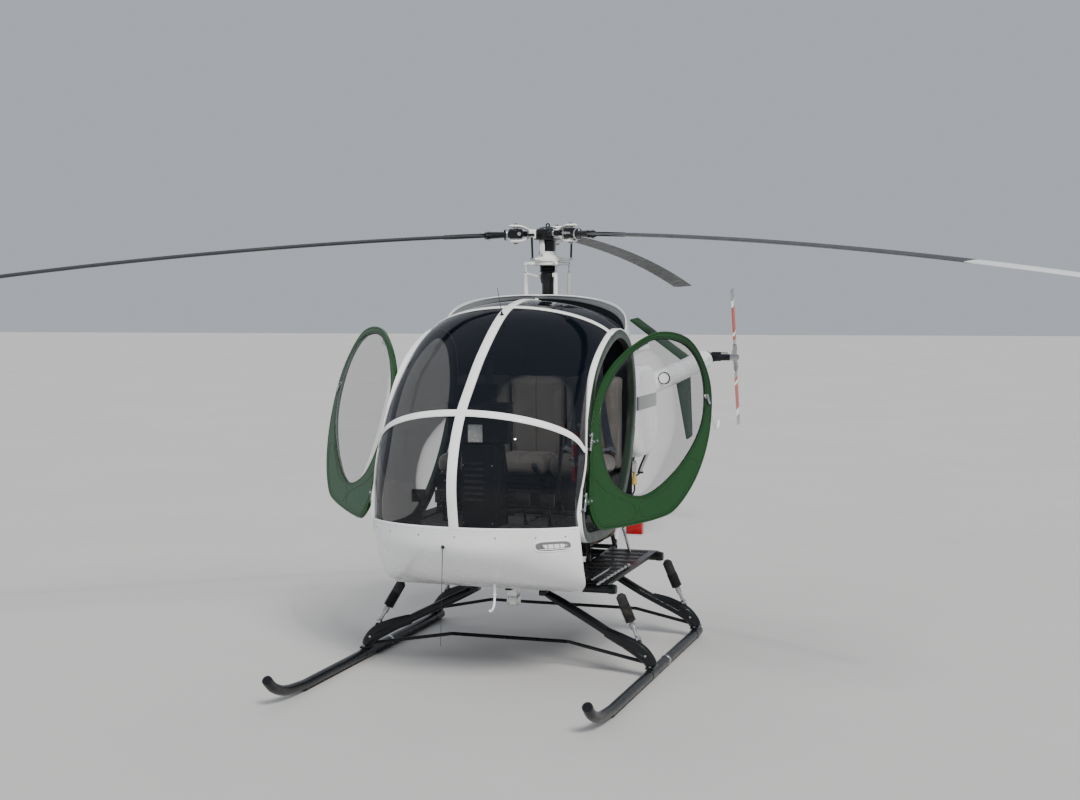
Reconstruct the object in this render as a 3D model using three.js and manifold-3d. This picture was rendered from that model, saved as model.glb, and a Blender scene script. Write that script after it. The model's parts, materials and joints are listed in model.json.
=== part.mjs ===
// A light three-seat helicopter on skids, with a bubble cabin whose two doors stand open.
// Millimetres. X points to the helicopter's left, Y aft and Z up, and the mast axis is x = 0, y = 0
// until the whole group is shifted, at the end, so that its origin is under the middle of its box.
import * as THREE from "three";
import { mergeVertices } from "three/addons/utils/BufferGeometryUtils.js";
import Module from "manifold-3d";

const wasm = await Module();
wasm.setup();

const { Vector3 } = THREE;
const rad = THREE.MathUtils.degToRad;

// Driving dimensions
const GAP = 0.5; // left between neighbouring pieces
const ROTOR_RADIUS = 4090;
const ROTOR_AZIMUTH = 1.7; // degrees that the aft blade stands off the centre line
const BLADE_CHORD = 173;
const BLADE_DROOP = 353; // of a tip at rest
const BLADE_ROOT = 420;
const HUB_Z = 2682;
const SWASH_Z = 2505;
const TAIL_HUB = new Vector3(284, 4650, 1660);
const TAIL_RADIUS = 650;
const TAIL_CHORD = 122;
const TAIL_TILT = 15.4; // degrees that the upper tail blade leans forward
const BOOM_RADIUS = 88;
const BOOM_WALL = 4;
const BOOM_FRONT = new Vector3(0, 540, 1415);
const BOOM_REAR = new Vector3(0, 4560, 1635);
const HALF_TRACK = 930;
const SKID_RADIUS = 30;
const SHOE_THICK = 8; // the wear shoe under a skid
const SKID_Z = SKID_RADIUS + SHOE_THICK - 3;
const SKID_TIP_Y = -2222;
const SKID_REAR_Y = 320;
const FLOOR_Z = 925;
const BULKHEAD_Y = -124;
const BULKHEAD_THICK = 12;
const FLOOR_THICK = 12;
const DOOR_THICK = 22;
const DOOR_GAP = 7; // between a closed door's rim and its opening
const POST_WIDTH = 60;
const POST_DEPTH = 38;
const HINGE = new Vector3(650, -1300, 1200);
const HINGE_LEAN_IN = 0.034; // sideways lean of the hinge line for each unit of height
const HINGE_LEAN_AFT = 0.474;
const KNUCKLE_RADIUS = 9;
const KNUCKLE_HALF = 28; // half the length of a door's knuckle
const LEAF_REACH = 62; // of a hinge leaf over the door
const LEAF_INSET = 7; // from a knuckle's end to its leaf's edge
const HINGE_HEIGHTS = [1110, 1440];
const DOORS = [
  { name: "left", side: 1, open: 41.6 },
  { name: "right", side: -1, open: 52.3 },
];

const material = (color, roughness, metalness = 0) =>
  new THREE.MeshStandardMaterial({ color, roughness, metalness });
const WHITE = material(0xe9ebec, 0.3);
const GREEN = material(0x1e5023, 0.25);
const BLACK = material(0x141517, 0.45, 0.2);
const BLADE_GREY = material(0x33363a, 0.5);
const STEEL = material(0x8d9094, 0.35, 0.9);
const ALUMINIUM = material(0xb6b9bc, 0.4, 0.8);
const GREY_CLOTH = material(0x77726d, 0.85);
const RED = material(0xb3141c, 0.35);
const tinted = (opacity) => {
  const glass = material(0x20262c, 0.08);
  glass.transparent = true;
  glass.opacity = opacity;
  return glass;
};
const SMOKED = tinted(0.45);
const CLEAR = tinted(0.2);

// Solids and joins

function solidOf(geometry) {
  const bare = new THREE.BufferGeometry();
  bare.setAttribute("position", geometry.getAttribute("position"));
  if (geometry.index) bare.setIndex(geometry.index);
  const merged = mergeVertices(bare, 1e-3);
  const index = merged.index.array;
  const kept = [];
  for (let i = 0; i < index.length; i += 3) {
    const [a, b, c] = [index[i], index[i + 1], index[i + 2]];
    if (a !== b && b !== c && c !== a) kept.push(a, b, c);
  }
  const mesh = new wasm.Mesh({
    numProp: 3,
    vertProperties: new Float32Array(merged.attributes.position.array),
    triVerts: new Uint32Array(kept),
  });
  const solid = new wasm.Manifold(mesh);
  if (solid.volume() > 0) return solid;
  for (let i = 0; i < kept.length; i += 3) [kept[i], kept[i + 1]] = [kept[i + 1], kept[i]];
  mesh.triVerts = new Uint32Array(kept);
  return new wasm.Manifold(mesh);
}

function geometryOf(solid) {
  const mesh = solid.getMesh();
  const geometry = new THREE.BufferGeometry();
  geometry.setAttribute("position", new THREE.BufferAttribute(mesh.vertProperties, 3));
  geometry.setIndex(new THREE.BufferAttribute(mesh.triVerts, 1));
  geometry.computeVertexNormals();
  return geometry;
}

const fuse = (...geometries) => geometries.map(solidOf).reduce((all, one) => all.add(one));
const cut = (solid, ...geometries) =>
  geometries.map(solidOf).reduce((left, one) => left.subtract(one), solid);

function box([x0, x1], [y0, y1], [z0, z1]) {
  const geometry = new THREE.BoxGeometry(x1 - x0, y1 - y0, z1 - z0);
  return geometry.translate((x0 + x1) / 2, (y0 + y1) / 2, (z0 + z1) / 2);
}

// A round bar from one point to another, with its own radius at each end.
function rod(from, to, radius, endRadius = radius, sides = 8) {
  const [a, b] = [new Vector3(...from), new Vector3(...to)];
  const along = b.clone().sub(a);
  const geometry = new THREE.CylinderGeometry(endRadius, radius, along.length(), sides);
  const turn = new THREE.Quaternion().setFromUnitVectors(
    new Vector3(0, 1, 0),
    along.clone().normalize(),
  );
  return geometry.applyQuaternion(turn).translate(...a.add(b).multiplyScalar(0.5).toArray());
}

// A tube of the frame, which runs a little past its ends into the tubes that it is welded to.
function frameTube(from, to, radius) {
  const [a, b] = [new Vector3(...from), new Vector3(...to)];
  const past = b.clone().sub(a).setLength(radius * 0.4);
  return rod(a.sub(past).toArray(), b.add(past).toArray(), radius);
}

// A tube of oval section along a smooth line through the given points.
function pipe(points, radius, steps = 12, sides = 8, flatten = 1) {
  const path = new THREE.CatmullRomCurve3(points.map((p) => new Vector3(...p)));
  const section = new THREE.Shape();
  section.absellipse(0, 0, radius, radius * flatten, 0, Math.PI * 2);
  return new THREE.ExtrudeGeometry(section, {
    steps,
    curveSegments: sides / 2,
    extrudePath: path,
    bevelEnabled: false,
  });
}

// A turned piece whose axis runs from a point along a direction. Profile columns: radius, distance.
function turned(profile, at, direction, segments = 24) {
  const points = profile.map(([r, d]) => new THREE.Vector2(r, d));
  const geometry = new THREE.LatheGeometry(points, segments);
  const turn = new THREE.Quaternion().setFromUnitVectors(
    new Vector3(0, 1, 0),
    new Vector3(...direction).normalize(),
  );
  return geometry.applyQuaternion(turn).translate(...at);
}

// A closed skin over rings of points, all with the same count.
function loft(rings) {
  const count = rings[0].length;
  const points = rings.flat();
  const faces = [];
  for (let r = 0; r + 1 < rings.length; r++)
    for (let i = 0; i < count; i++) {
      const [a, b] = [r * count + i, r * count + ((i + 1) % count)];
      faces.push(a, b, a + count, b, b + count, a + count);
    }
  for (const [ring, start, flip] of [
    [rings[0], 0, true],
    [rings.at(-1), (rings.length - 1) * count, false],
  ]) {
    const middle = ring.reduce((s, p) => s.add(p), new Vector3()).divideScalar(count);
    const hub = points.push(middle) - 1;
    for (let i = 0; i < count; i++) {
      const [a, b] = [start + i, start + ((i + 1) % count)];
      faces.push(...(flip ? [b, a, hub] : [a, b, hub]));
    }
  }
  const geometry = new THREE.BufferGeometry().setFromPoints(points);
  geometry.setIndex(faces);
  return geometry;
}

// A sheet over a surface(u, v), between two offsets along its normal. The outer one may be a function
// of u and v.
function patch(surface, [u0, u1, across], [v0, v1, up], inner, outer) {
  const step = 1e-3;
  const lifted = (u, v, offset) => {
    const du = surface(u + step, v).sub(surface(u - step, v));
    const dv = surface(u, v + step).sub(surface(u, v - step));
    return surface(u, v).addScaledVector(du.cross(dv).normalize(), offset);
  };
  const at = (i, j, offset) => {
    const [u, v] = [THREE.MathUtils.lerp(u0, u1, i / across), THREE.MathUtils.lerp(v0, v1, j / up)];
    return lifted(u, v, typeof offset === "function" ? offset(u, v) : offset);
  };
  const points = [];
  for (const offset of [inner, outer])
    for (let j = 0; j <= up; j++) for (let i = 0; i <= across; i++) points.push(at(i, j, offset));
  const layer = (across + 1) * (up + 1);
  const id = (i, j, k) => k * layer + j * (across + 1) + i;
  const faces = [];
  const quad = (a, b, c, d) => faces.push(a, b, c, a, c, d);
  for (let j = 0; j < up; j++)
    for (let i = 0; i < across; i++) {
      quad(id(i, j, 1), id(i + 1, j, 1), id(i + 1, j + 1, 1), id(i, j + 1, 1));
      quad(id(i, j, 0), id(i, j + 1, 0), id(i + 1, j + 1, 0), id(i + 1, j, 0));
    }
  for (let i = 0; i < across; i++) {
    quad(id(i, 0, 0), id(i + 1, 0, 0), id(i + 1, 0, 1), id(i, 0, 1));
    quad(id(i, up, 1), id(i + 1, up, 1), id(i + 1, up, 0), id(i, up, 0));
  }
  for (let j = 0; j < up; j++) {
    quad(id(0, j, 1), id(0, j + 1, 1), id(0, j + 1, 0), id(0, j, 0));
    quad(id(across, j, 0), id(across, j + 1, 0), id(across, j + 1, 1), id(across, j, 1));
  }
  const geometry = new THREE.BufferGeometry().setFromPoints(points);
  geometry.setIndex(faces);
  return geometry;
}

const root = new THREE.Group();
function add(name, shape, finish, parent = root) {
  const geometry = shape.isBufferGeometry ? geometryOf(solidOf(shape)) : geometryOf(shape);
  const mesh = new THREE.Mesh(geometry, finish);
  mesh.name = name;
  parent.add(mesh);
}

// Cabin surface. Each row crosses the cabin from one door post over the centre line to the other.
// Columns: centre y, centre z, post x, post y, post z, degrees of arc that the row spans to a side.
const SCREEN_ROWS = [
  [-1700, 975, 640, -1372, 960, 62],
  [-1728, 1230, 645, -1352, 1180, 64],
  [-1674, 1450, 642, -1318, 1330, 65],
  [-1569, 1626, 635, -1262, 1465, 66],
  [-1439, 1758, 626, -1172, 1630, 67],
  [-1216, 1953, 618, -1012, 1800, 70],
  [-840, 2180, 608, -770, 1968, 74],
  [-490, 2250, 592, -490, 2064, 78],
  [-190, 2240, 592, -290, 2075, 80],
];
const [FOOT_ROW, STRIP_ROW, BOW_ROW, BROW_ROW] = [0, 3, 6.5, 8];
const NOSE_ROWS = [
  [-1175, 556, 585, -1165, 556, 70],
  [-1400, 630, 628, -1225, 612, 66],
  [-1565, 735, 640, -1295, 720, 62],
  [-1664, 850, 643, -1345, 845, 62],
  [-1700, 974.5, 640, -1372, 959.5, 62],
];
const ROOF_ROWS = [
  [-215, 2243, 598, -310, 2046, 80],
  [-150, 2240, 600, -210, 1990, 80],
  [-112, 2214, 600, -118, 1870, 80],
];

// u runs from -1 to 1 across and v counts rows.
function cabinSurface(rows) {
  const last = rows.length - 1;
  const curve = (columns) =>
    new THREE.CatmullRomCurve3(
      rows.map((row) => new Vector3(...columns.map((c) => (c < 0 ? 0 : row[c])))),
    );
  const centre = curve([-1, 0, 1]);
  const post = curve([2, 3, 4]);
  const arc = curve([5, -1, -1]);
  return (u, v) => {
    const t = THREE.MathUtils.clamp(v / last, 0, 1);
    const [c, p] = [centre.getPoint(t), post.getPoint(t)];
    const span = rad(arc.getPoint(t).x);
    const drop = (1 - Math.cos(u * span)) / (1 - Math.cos(span));
    const x = (p.x * Math.sin(u * span)) / Math.sin(span);
    const along = v - t * last; // beyond the first or last row the surface runs on straight
    return new Vector3(x, c.y + (p.y - c.y) * drop, c.z + (p.z - c.z) * drop + along);
  };
}
const screen = cabinSurface(SCREEN_ROWS);
const nose = cabinSurface(NOSE_ROWS);
const roof = cabinSurface(ROOF_ROWS);

// Door outlines in the closed position. Columns: y, z.
function loopThrough(points, count) {
  const curve = new THREE.CatmullRomCurve3(points.map(([y, z]) => new Vector3(0, y, z)), true);
  return curve.getSpacedPoints(count).slice(0, -1).map((p) => new THREE.Vector2(p.y, p.z));
}
const DOOR_LOOP = loopThrough(
  [
    [-1318, 1040],
    [-1285, 945],
    [-1200, 927],
    [-860, 917],
    [-740, 938],
    [-500, 1105],
    [-293, 1376],
    [-190, 1680],
    [-250, 1925],
    [-450, 2008],
    [-700, 1950],
    [-960, 1795],
    [-1120, 1586],
    [-1232, 1306],
  ],
  40,
);
const WINDOW_LOOP = loopThrough(
  [
    [-1124, 1326],
    [-1019, 1649],
    [-757, 1884],
    [-500, 1968],
    [-290, 1895],
    [-231, 1730],
    [-335, 1425],
    [-637, 1170],
    [-952, 1068],
    [-1095, 1160],
  ],
  28,
);

// The loop grown by a distance, or shrunk by a negative one.
function offsetLoop(loop, distance) {
  const outwards = distance * Math.sign(THREE.ShapeUtils.area(loop));
  return loop.map((p, i) => {
    const before = loop[(i + loop.length - 1) % loop.length];
    const after = loop[(i + 1) % loop.length];
    const along = after.clone().sub(before).normalize();
    return new THREE.Vector2(p.x + along.y * outwards, p.y - along.x * outwards);
  });
}

// A flat piece in a door's plane, between two depths outboard of it, on one side of the cabin.
function sidePlate(outline, hole, side, inner, outer) {
  const shape = new THREE.Shape(outline);
  if (hole) shape.holes.push(new THREE.Path(hole));
  const geometry = new THREE.ExtrudeGeometry(shape, { depth: outer - inner, bevelEnabled: false });
  return ontoSide(geometry, side, inner);
}

// Turns shape (y, z, depth) into the cabin's side, leaning inwards with height.
function ontoSide(geometry, side, inner) {
  const position = geometry.getAttribute("position");
  for (let i = 0; i < position.count; i++) {
    const [y, z, depth] = [position.getX(i), position.getY(i), position.getZ(i)];
    const x = HINGE.x - HINGE_LEAN_IN * (z - HINGE.z) + inner + depth;
    position.setXYZ(i, side * x, y, z);
  }
  return geometry;
}

// Cabin

// A door's hinge line, which leans aft with the post and stands just outboard of it.
const hingeAxis = (side) => new Vector3(-side * HINGE_LEAN_IN, HINGE_LEAN_AFT, 1).normalize();
const hingeFoot = (side) => new Vector3(side * (HINGE.x + KNUCKLE_RADIUS + GAP), HINGE.y, HINGE.z);

// A knuckle between two heights along the hinge line from a middle, and the leaf that carries it.
// The leaf lies on the door for aft = 1 and on the post for aft = -1.
function hingeLeaf(side, z, [low, high], aft) {
  const axis = hingeAxis(side);
  const middle = hingeFoot(side).addScaledVector(axis, (z - HINGE.z) / axis.z);
  const at = (along) => middle.clone().addScaledVector(axis, along);
  const strip = (from, to, inner, outer) => {
    const [foot, head] = [low + LEAF_INSET, high - LEAF_INSET];
    const edge = [[from, foot], [to, foot], [to, head], [from, head]];
    const outline = edge.map(([y, along]) => new THREE.Vector2(at(along).y + aft * y, at(along).z));
    return sidePlate(outline, null, side, inner, outer);
  };
  const reach = aft > 0 ? LEAF_REACH : LEAF_REACH * 0.6;
  const root = aft > 0 ? LEAF_REACH * 0.7 : 4;
  return [
    rod(at(low).toArray(), at(high).toArray(), KNUCKLE_RADIUS, KNUCKLE_RADIUS, 10),
    strip(0, reach, 2 * GAP, 7),
    strip(root, reach - 1, -3, 6),
  ];
}

// The posts, sill and header around each door opening, grown all round and out to a depth.
function doorRims(grow, outer = grow) {
  const rim = (side) =>
    sidePlate(
      offsetLoop(DOOR_LOOP, DOOR_GAP + POST_WIDTH + grow),
      offsetLoop(DOOR_LOOP, DOOR_GAP - grow),
      side,
      -POST_DEPTH - grow,
      outer,
    );
  return fuse(rim(1), rim(-1));
}

const STRIP_HALF = 23; // half the width of the straps over the joints of the screen
const CENTRE_HALF = STRIP_HALF / 640; // the same in u, at the centre line
const BAND_HALF = STRIP_HALF / 200; // and in v, along the cross strap
const POST_U = 1.035; // where the straps end, inside the door posts
const PANE_U = 1.06; // past the posts, which trim the panes
// The straps that cross the screen. Columns: first v, last v.
const STRAPS = [
  [FOOT_ROW, FOOT_ROW + 0.1],
  [STRIP_ROW - BAND_HALF, STRIP_ROW + BAND_HALF],
  [BOW_ROW - 0.07, BOW_ROW + 0.05],
];

// The deep ends of the upper two straps, which run into the posts, grown all round.
function strapEnds(grow) {
  const [du, dv] = [grow / 640, grow / 200];
  const ends = [];
  for (const [v0, v1] of STRAPS.slice(1))
    for (const [u0, u1] of [[1 - du, POST_U], [-POST_U, du - 1]])
      ends.push(patch(screen, [u0, u1, 2], [v0 - dv, v1 + dv, 1], -12 - grow, 4));
  return fuse(...ends);
}

function cabinFrame() {
  const lift = 6;
  const straps = STRAPS.map(([v0, v1]) => patch(screen, [-POST_U, POST_U, 18], [v0, v1, 1], 0, lift));
  const across = [-CENTRE_HALF, CENTRE_HALF, 1];
  const centre = patch(screen, across, [FOOT_ROW + 0.03, BROW_ROW - 0.1, 18], -1, lift + 1);
  const ends = [[-2 * KNUCKLE_HALF, -KNUCKLE_HALF - GAP], [KNUCKLE_HALF + GAP, 2 * KNUCKLE_HALF]];
  const hinges = [];
  for (const side of [1, -1])
    for (const z of HINGE_HEIGHTS)
      for (const span of ends) hinges.push(...hingeLeaf(side, z, span, -1));
  return fuse(centre, ...straps, ...hinges).add(doorRims(0)).add(strapEnds(0));
}

function windscreens() {
  const posts = doorRims(GAP, 60).add(strapEnds(GAP));
  const seam = (STRIP_HALF + GAP) / 640;
  const rows = [
    ["lower", FOOT_ROW + 0.02, STRIP_ROW - 0.01],
    ["upper", STRIP_ROW + 0.01, BOW_ROW - 0.005],
    ["roof", BOW_ROW + 0.005, BROW_ROW - 0.12],
  ];
  for (const [name, v0, v1] of rows)
    for (const [word, u0, u1] of [["left", seam, PANE_U], ["right", -PANE_U, -seam]]) {
      const up = Math.max(2, Math.round((v1 - v0) * 2));
      const pane = solidOf(patch(screen, [u0, u1, 9], [v0, v1, up], -7, -2.5));
      add(`${name}_window_${word}`, largest(pane.subtract(posts)), SMOKED);
    }
}

// The biggest of a solid's separate bodies.
function largest(solid) {
  const bodies = solid.decompose();
  return bodies.reduce((best, one) => (one.volume() > best.volume() ? one : best));
}

function noseShell() {
  const shell = solidOf(patch(nose, [-1, 1, 16], [0, NOSE_ROWS.length - 1, 8], -6, 2));
  return largest(shell.subtract(doorRims(GAP)));
}

const ROOF_INNER = -4;
const CAP_U = 1.03; // where the cap ends to each side
const CAP_ROWS = [0, ROOF_ROWS.length - 1, 3];
// The cap's front stands up as an eyebrow with square shoulders. Columns: u, height over the roof.
const BROW = [
  [0, 38], [0.2, 45], [0.4, 60], [0.6, 81], [0.7, 87], [0.8, 76], [0.9, 40], [1, 11], [CAP_U, 7],
];
const BROW_FALL = 0.4; // the share of its height that it loses towards the rear
const roofOuter = (u, v) => {
  const at = Math.abs(u);
  const k = Math.max(1, BROW.findIndex(([next]) => next >= at - 1e-9));
  const [[u0, low], [u1, high]] = [BROW[k - 1], BROW[k]];
  return THREE.MathUtils.lerp(low, high, (at - u0) / (u1 - u0)) * (1 - (BROW_FALL * v) / CAP_ROWS[1]);
};
function roofCap() {
  const cap = solidOf(patch(roof, [-CAP_U, CAP_U, 24], CAP_ROWS, ROOF_INNER, roofOuter));
  return largest(cap.subtract(doorRims(GAP)));
}

function cabinFloor() {
  const half = 598;
  const shape = new THREE.Shape();
  shape.moveTo(-half, BULKHEAD_Y - GAP);
  shape.lineTo(-half, -1290);
  shape.quadraticCurveTo(-380, -1640, 0, -1650);
  shape.quadraticCurveTo(380, -1640, half, -1290);
  shape.lineTo(half, BULKHEAD_Y - GAP);
  const plate = new THREE.ExtrudeGeometry(shape, {
    depth: FLOOR_THICK,
    bevelEnabled: false,
    curveSegments: 8,
  });
  plate.translate(0, 0, FLOOR_Z - FLOOR_THICK);
  return largest(solidOf(plate).subtract(doorRims(GAP)));
}

function bulkhead() {
  const shape = new THREE.Shape();
  const [half, shoulder, top] = [600, 1880, 2255];
  shape.moveTo(-half, FLOOR_Z - FLOOR_THICK);
  shape.lineTo(half, FLOOR_Z - FLOOR_THICK);
  shape.lineTo(half, shoulder);
  shape.quadraticCurveTo(half - 20, 2140, 300, 2225);
  shape.quadraticCurveTo(0, top + 20, -300, 2225);
  shape.quadraticCurveTo(-half + 20, 2140, -half, shoulder);
  const plate = new THREE.ExtrudeGeometry(shape, {
    depth: BULKHEAD_THICK,
    bevelEnabled: false,
    curveSegments: 8,
  });
  plate.rotateX(Math.PI / 2).translate(0, BULKHEAD_Y + BULKHEAD_THICK, 0);
  const room = solidOf(patch(roof, [-CAP_U, CAP_U, 24], CAP_ROWS, ROOF_INNER - 2 * GAP, 120));
  const around = room.add(room.translate([0, 3, 0])).add(room.translate([0, 1, -2]));
  return largest(solidOf(plate).subtract(doorRims(GAP)).subtract(around));
}

// Cabin fittings

const SEAT_HALF = 560;
const SEAT_FRONT = -640;
const SEAT_TOP = 1150;
const SEAT_WALL = 10;
function seatBase() {
  const [front, back, foot] = [SEAT_FRONT + 40, BULKHEAD_Y - GAP, FLOOR_Z + GAP];
  const hollow = box(
    [-SEAT_HALF + SEAT_WALL, SEAT_HALF - SEAT_WALL],
    [front + SEAT_WALL, back - SEAT_WALL],
    [foot - 50, SEAT_TOP - SEAT_WALL],
  );
  return cut(solidOf(box([-SEAT_HALF, SEAT_HALF], [front, back], [foot, SEAT_TOP])), hollow);
}

function roundedBlock([x0, x1], [y0, y1], [z0, z1], radius) {
  const shape = new THREE.Shape();
  shape.moveTo(y0 + radius, z0);
  shape.lineTo(y1 - radius, z0);
  shape.quadraticCurveTo(y1, z0, y1, z0 + radius);
  shape.lineTo(y1, z1 - radius);
  shape.quadraticCurveTo(y1, z1, y1 - radius, z1);
  shape.lineTo(y0 + radius, z1);
  shape.quadraticCurveTo(y0, z1, y0, z1 - radius);
  shape.lineTo(y0, z0 + radius);
  shape.quadraticCurveTo(y0, z0, y0 + radius, z0);
  const geometry = new THREE.ExtrudeGeometry(shape, {
    depth: x1 - x0,
    bevelEnabled: false,
    curveSegments: 4,
  });
  const basis = new THREE.Matrix4().makeBasis(
    new Vector3(0, 1, 0),
    new Vector3(0, 0, 1),
    new Vector3(1, 0, 0),
  );
  return geometry.applyMatrix4(basis).translate(x0, 0, 0);
}

function instrumentConsole() {
  return fuse(
    box([-105, 105], [-1330, -1060], [FLOOR_Z + GAP, 1430]),
    box([-190, 190], [-1330, -1200], [1420, 1662]),
    box([-150, 95], [-1330, -1215], [1652, 1772]),
  );
}

function controls() {
  const pieces = [rod([-480, -760, FLOOR_Z + 30], [480, -760, FLOOR_Z + 30], 18)];
  for (const x of [-470, 0, 470])
    pieces.push(box([x - 20, x + 20], [-785, -735], [FLOOR_Z, FLOOR_Z + 25]));
  for (const x of [-330, 330]) {
    const stick = [[x, -760, FLOOR_Z + 30], [x, -830, 1080], [x, -780, 1260], [x, -750, 1390]];
    pieces.push(pipe(stick, 13, 6, 6));
    pieces.push(rod([x, -750, 1380], [x, -735, 1480], 20));
    for (const dx of [-75, 75]) {
      pieces.push(rod([x + dx, -760, FLOOR_Z + 30], [x + dx, -1200, FLOOR_Z + 30], 9, 9, 6));
      pieces.push(rod([x + dx, -1200, FLOOR_Z + 22], [x + dx, -1240, FLOOR_Z + 150], 9, 9, 6));
      const pad = [x + dx - 45, x + dx + 45];
      pieces.push(box(pad, [-1262, -1236], [FLOOR_Z + 135, FLOOR_Z + 215]));
    }
  }
  return cut(fuse(...pieces), box([-700, 700], [-1500, -500], [FLOOR_Z - 50, FLOOR_Z + GAP]));
}

const EXTINGUISHER = [552, -1120];
function extinguisher() {
  const [x, y] = EXTINGUISHER;
  const bottle = [
    [0, 1180], [32, 1184], [38, 1196], [38, 1420], [30, 1448], [14, 1458],
    [14, 1490], [20, 1492], [20, 1515], [0, 1516],
  ];
  return fuse(
    turned(bottle, [x, y, 0], [0, 0, 1], 16),
    box([x - 8, x + 8], [-1280, y], [1330, 1350]),
    box([x - 8, 606.5], [-1290, -1262], [1330, 1350]),
  );
}

// Doors, built closed around their hinge point and then swung open

function domedPane(loop, side, bulge, thick) {
  const middle = loop.reduce((s, p) => s.add(p), new THREE.Vector2()).divideScalar(loop.length);
  const rings = 4;
  const skin = (depth) => {
    const layers = [];
    for (let k = 0; k < rings; k++) {
      const scale = 1 - k / rings;
      const lift = bulge * Math.sqrt(1 - scale * scale) * 0.9;
      layers.push(loop.map((p) => {
        const q = p.clone().sub(middle).multiplyScalar(scale).add(middle);
        return new Vector3(q.x, q.y, depth + lift);
      }));
    }
    return layers;
  };
  const apex = 0.9 * bulge;
  const geometry = loftClosed(skin(thick), skin(0).reverse(), middle, apex + thick, apex);
  return ontoSide(geometry, side, -DOOR_THICK / 2 - thick / 2);
}

// Joins an outer and an inner skin of rings into one closed sheet, each with its own apex.
function loftClosed(outer, inner, middle, outerApex, innerApex) {
  const rings = [...outer.toReversed(), ...inner.toReversed()];
  const count = rings[0].length;
  const points = rings.flat();
  const faces = [];
  for (let r = 0; r + 1 < rings.length; r++)
    for (let i = 0; i < count; i++) {
      const [a, b] = [r * count + i, r * count + ((i + 1) % count)];
      faces.push(a, b, a + count, b, b + count, a + count);
    }
  const first = points.push(new Vector3(middle.x, middle.y, outerApex)) - 1;
  const last = points.push(new Vector3(middle.x, middle.y, innerApex)) - 1;
  const end = (rings.length - 1) * count;
  for (let i = 0; i < count; i++) {
    const next = (i + 1) % count;
    faces.push(next, i, first, end + i, end + next, last);
  }
  const geometry = new THREE.BufferGeometry().setFromPoints(points);
  geometry.setIndex(faces);
  return geometry;
}

// The door's ring with its knuckle of each hinge.
function doorPanel(side) {
  const pieces = [sidePlate(DOOR_LOOP, WINDOW_LOOP, side, -DOOR_THICK, 0)];
  for (const z of HINGE_HEIGHTS) pieces.push(...hingeLeaf(side, z, [-KNUCKLE_HALF, KNUCKLE_HALF], 1));
  return fuse(...pieces);
}

for (const { name, side, open } of DOORS) {
  const pivot = new THREE.Group();
  const at = hingeFoot(side);
  pivot.position.copy(at);
  pivot.quaternion.setFromAxisAngle(hingeAxis(side), -side * rad(open));
  root.add(pivot);
  const closed = new THREE.Group();
  closed.position.copy(at.clone().negate());
  pivot.add(closed);
  add(`${name}_door_frame`, doorPanel(side), GREEN, closed);
  const glass = domedPane(offsetLoop(WINDOW_LOOP, -GAP), side, 75, 4);
  add(`${name}_door_window`, glass, CLEAR, closed);
}

// Centre section: the steel tube frame, its two cross beams and what it carries

const FRONT_BEAM = { y: -800, z: 510, half: 690 };
const REAR_BEAM = { y: 180, z: 550, half: 730 };
const TUBE = 15;
const BEAM = 28;
// Named points of the frame's left half. Columns: x, y, z.
const FRAME_POINTS = {
  beam: [230, FRONT_BEAM.y, FRONT_BEAM.z],
  floor: [330, FRONT_BEAM.y, FLOOR_Z - FLOOR_THICK - GAP],
  low: [300, -90, 520],
  rear: [300, 520, 540],
  high: [260, -85, 1330],
  boom: [98, BOOM_FRONT.y + 20, BOOM_FRONT.z],
  tankFront: [470, 60, 1190],
  tankRear: [470, 400, 1190],
};
const FRAME_TUBES = [
  ["beam", "low"],
  ["low", "rear"],
  ["low", "high"],
  ["rear", "boom"],
  ["high", "boom"],
  ["beam", "floor"],
];

function centreFrame() {
  const pieces = [];
  const mirrored = ([x, y, z], side) => [side * x, y, z];
  for (const side of [1, -1])
    for (const [from, to] of FRAME_TUBES) {
      const ends = [FRAME_POINTS[from], FRAME_POINTS[to]].map((p) => mirrored(p, side));
      pieces.push(frameTube(...ends, TUBE));
    }
  for (const name of ["low", "rear", "high"]) {
    const [x, y, z] = FRAME_POINTS[name];
    pieces.push(frameTube([-x, y, z], [x, y, z], TUBE + 1));
  }
  pieces.push(frameTube(FRAME_POINTS.high, FRAME_POINTS.tankFront, TUBE - 1));
  pieces.push(frameTube(FRAME_POINTS.tankFront, FRAME_POINTS.tankRear, TUBE));
  pieces.push(frameTube(FRAME_POINTS.tankRear, [262, 536, 710], TUBE - 1));
  for (const { y, z, half } of [FRONT_BEAM, REAR_BEAM])
    pieces.push(rod([-half, y, z], [half, y, z], BEAM, BEAM, 12));
  const collar = [[90 - 1, 0], [104, 0], [104, 40], [90 - 1, 40], [90 - 1, 0]];
  const axis = BOOM_REAR.clone().sub(BOOM_FRONT).toArray();
  pieces.push(turned(collar, BOOM_FRONT.toArray(), axis, 24));
  const bore = boomRoom(BOOM_FRONT.y - 120, BOOM_FRONT.y + 200);
  for (const side of [1, -1])
    pieces.push(box([side * 295 - 15, side * 295 + 15], [515, STRUT_FOOT_Y], [530, 592]));
  const underFloor = box([-700, 700], [-900, -700], [FLOOR_Z - FLOOR_THICK - GAP, 1000]);
  return cut(fuse(...pieces), bore, box([300, 650], [-150, 520], [1205, 1215]), underFloor);
}

function engine() {
  const pieces = [
    box([-130, 130], [-50, 345], [680, 900]),
    box([-90, 90], [110, 250], [REAR_BEAM.z + BEAM + GAP, 690]),
  ];
  for (const side of [1, -1])
    for (const y of [60, 245]) {
      pieces.push(rod([side * 120, y, 790], [side * 400, y, 790], 56, 56, 12));
      for (let fin = 0; fin < 4; fin++) {
        const x = side * (188 + fin * 54);
        pieces.push(box([x - 8, x + 8], [y - 70, y + 70], [720, 860]));
      }
    }
  return fuse(...pieces);
}

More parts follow.
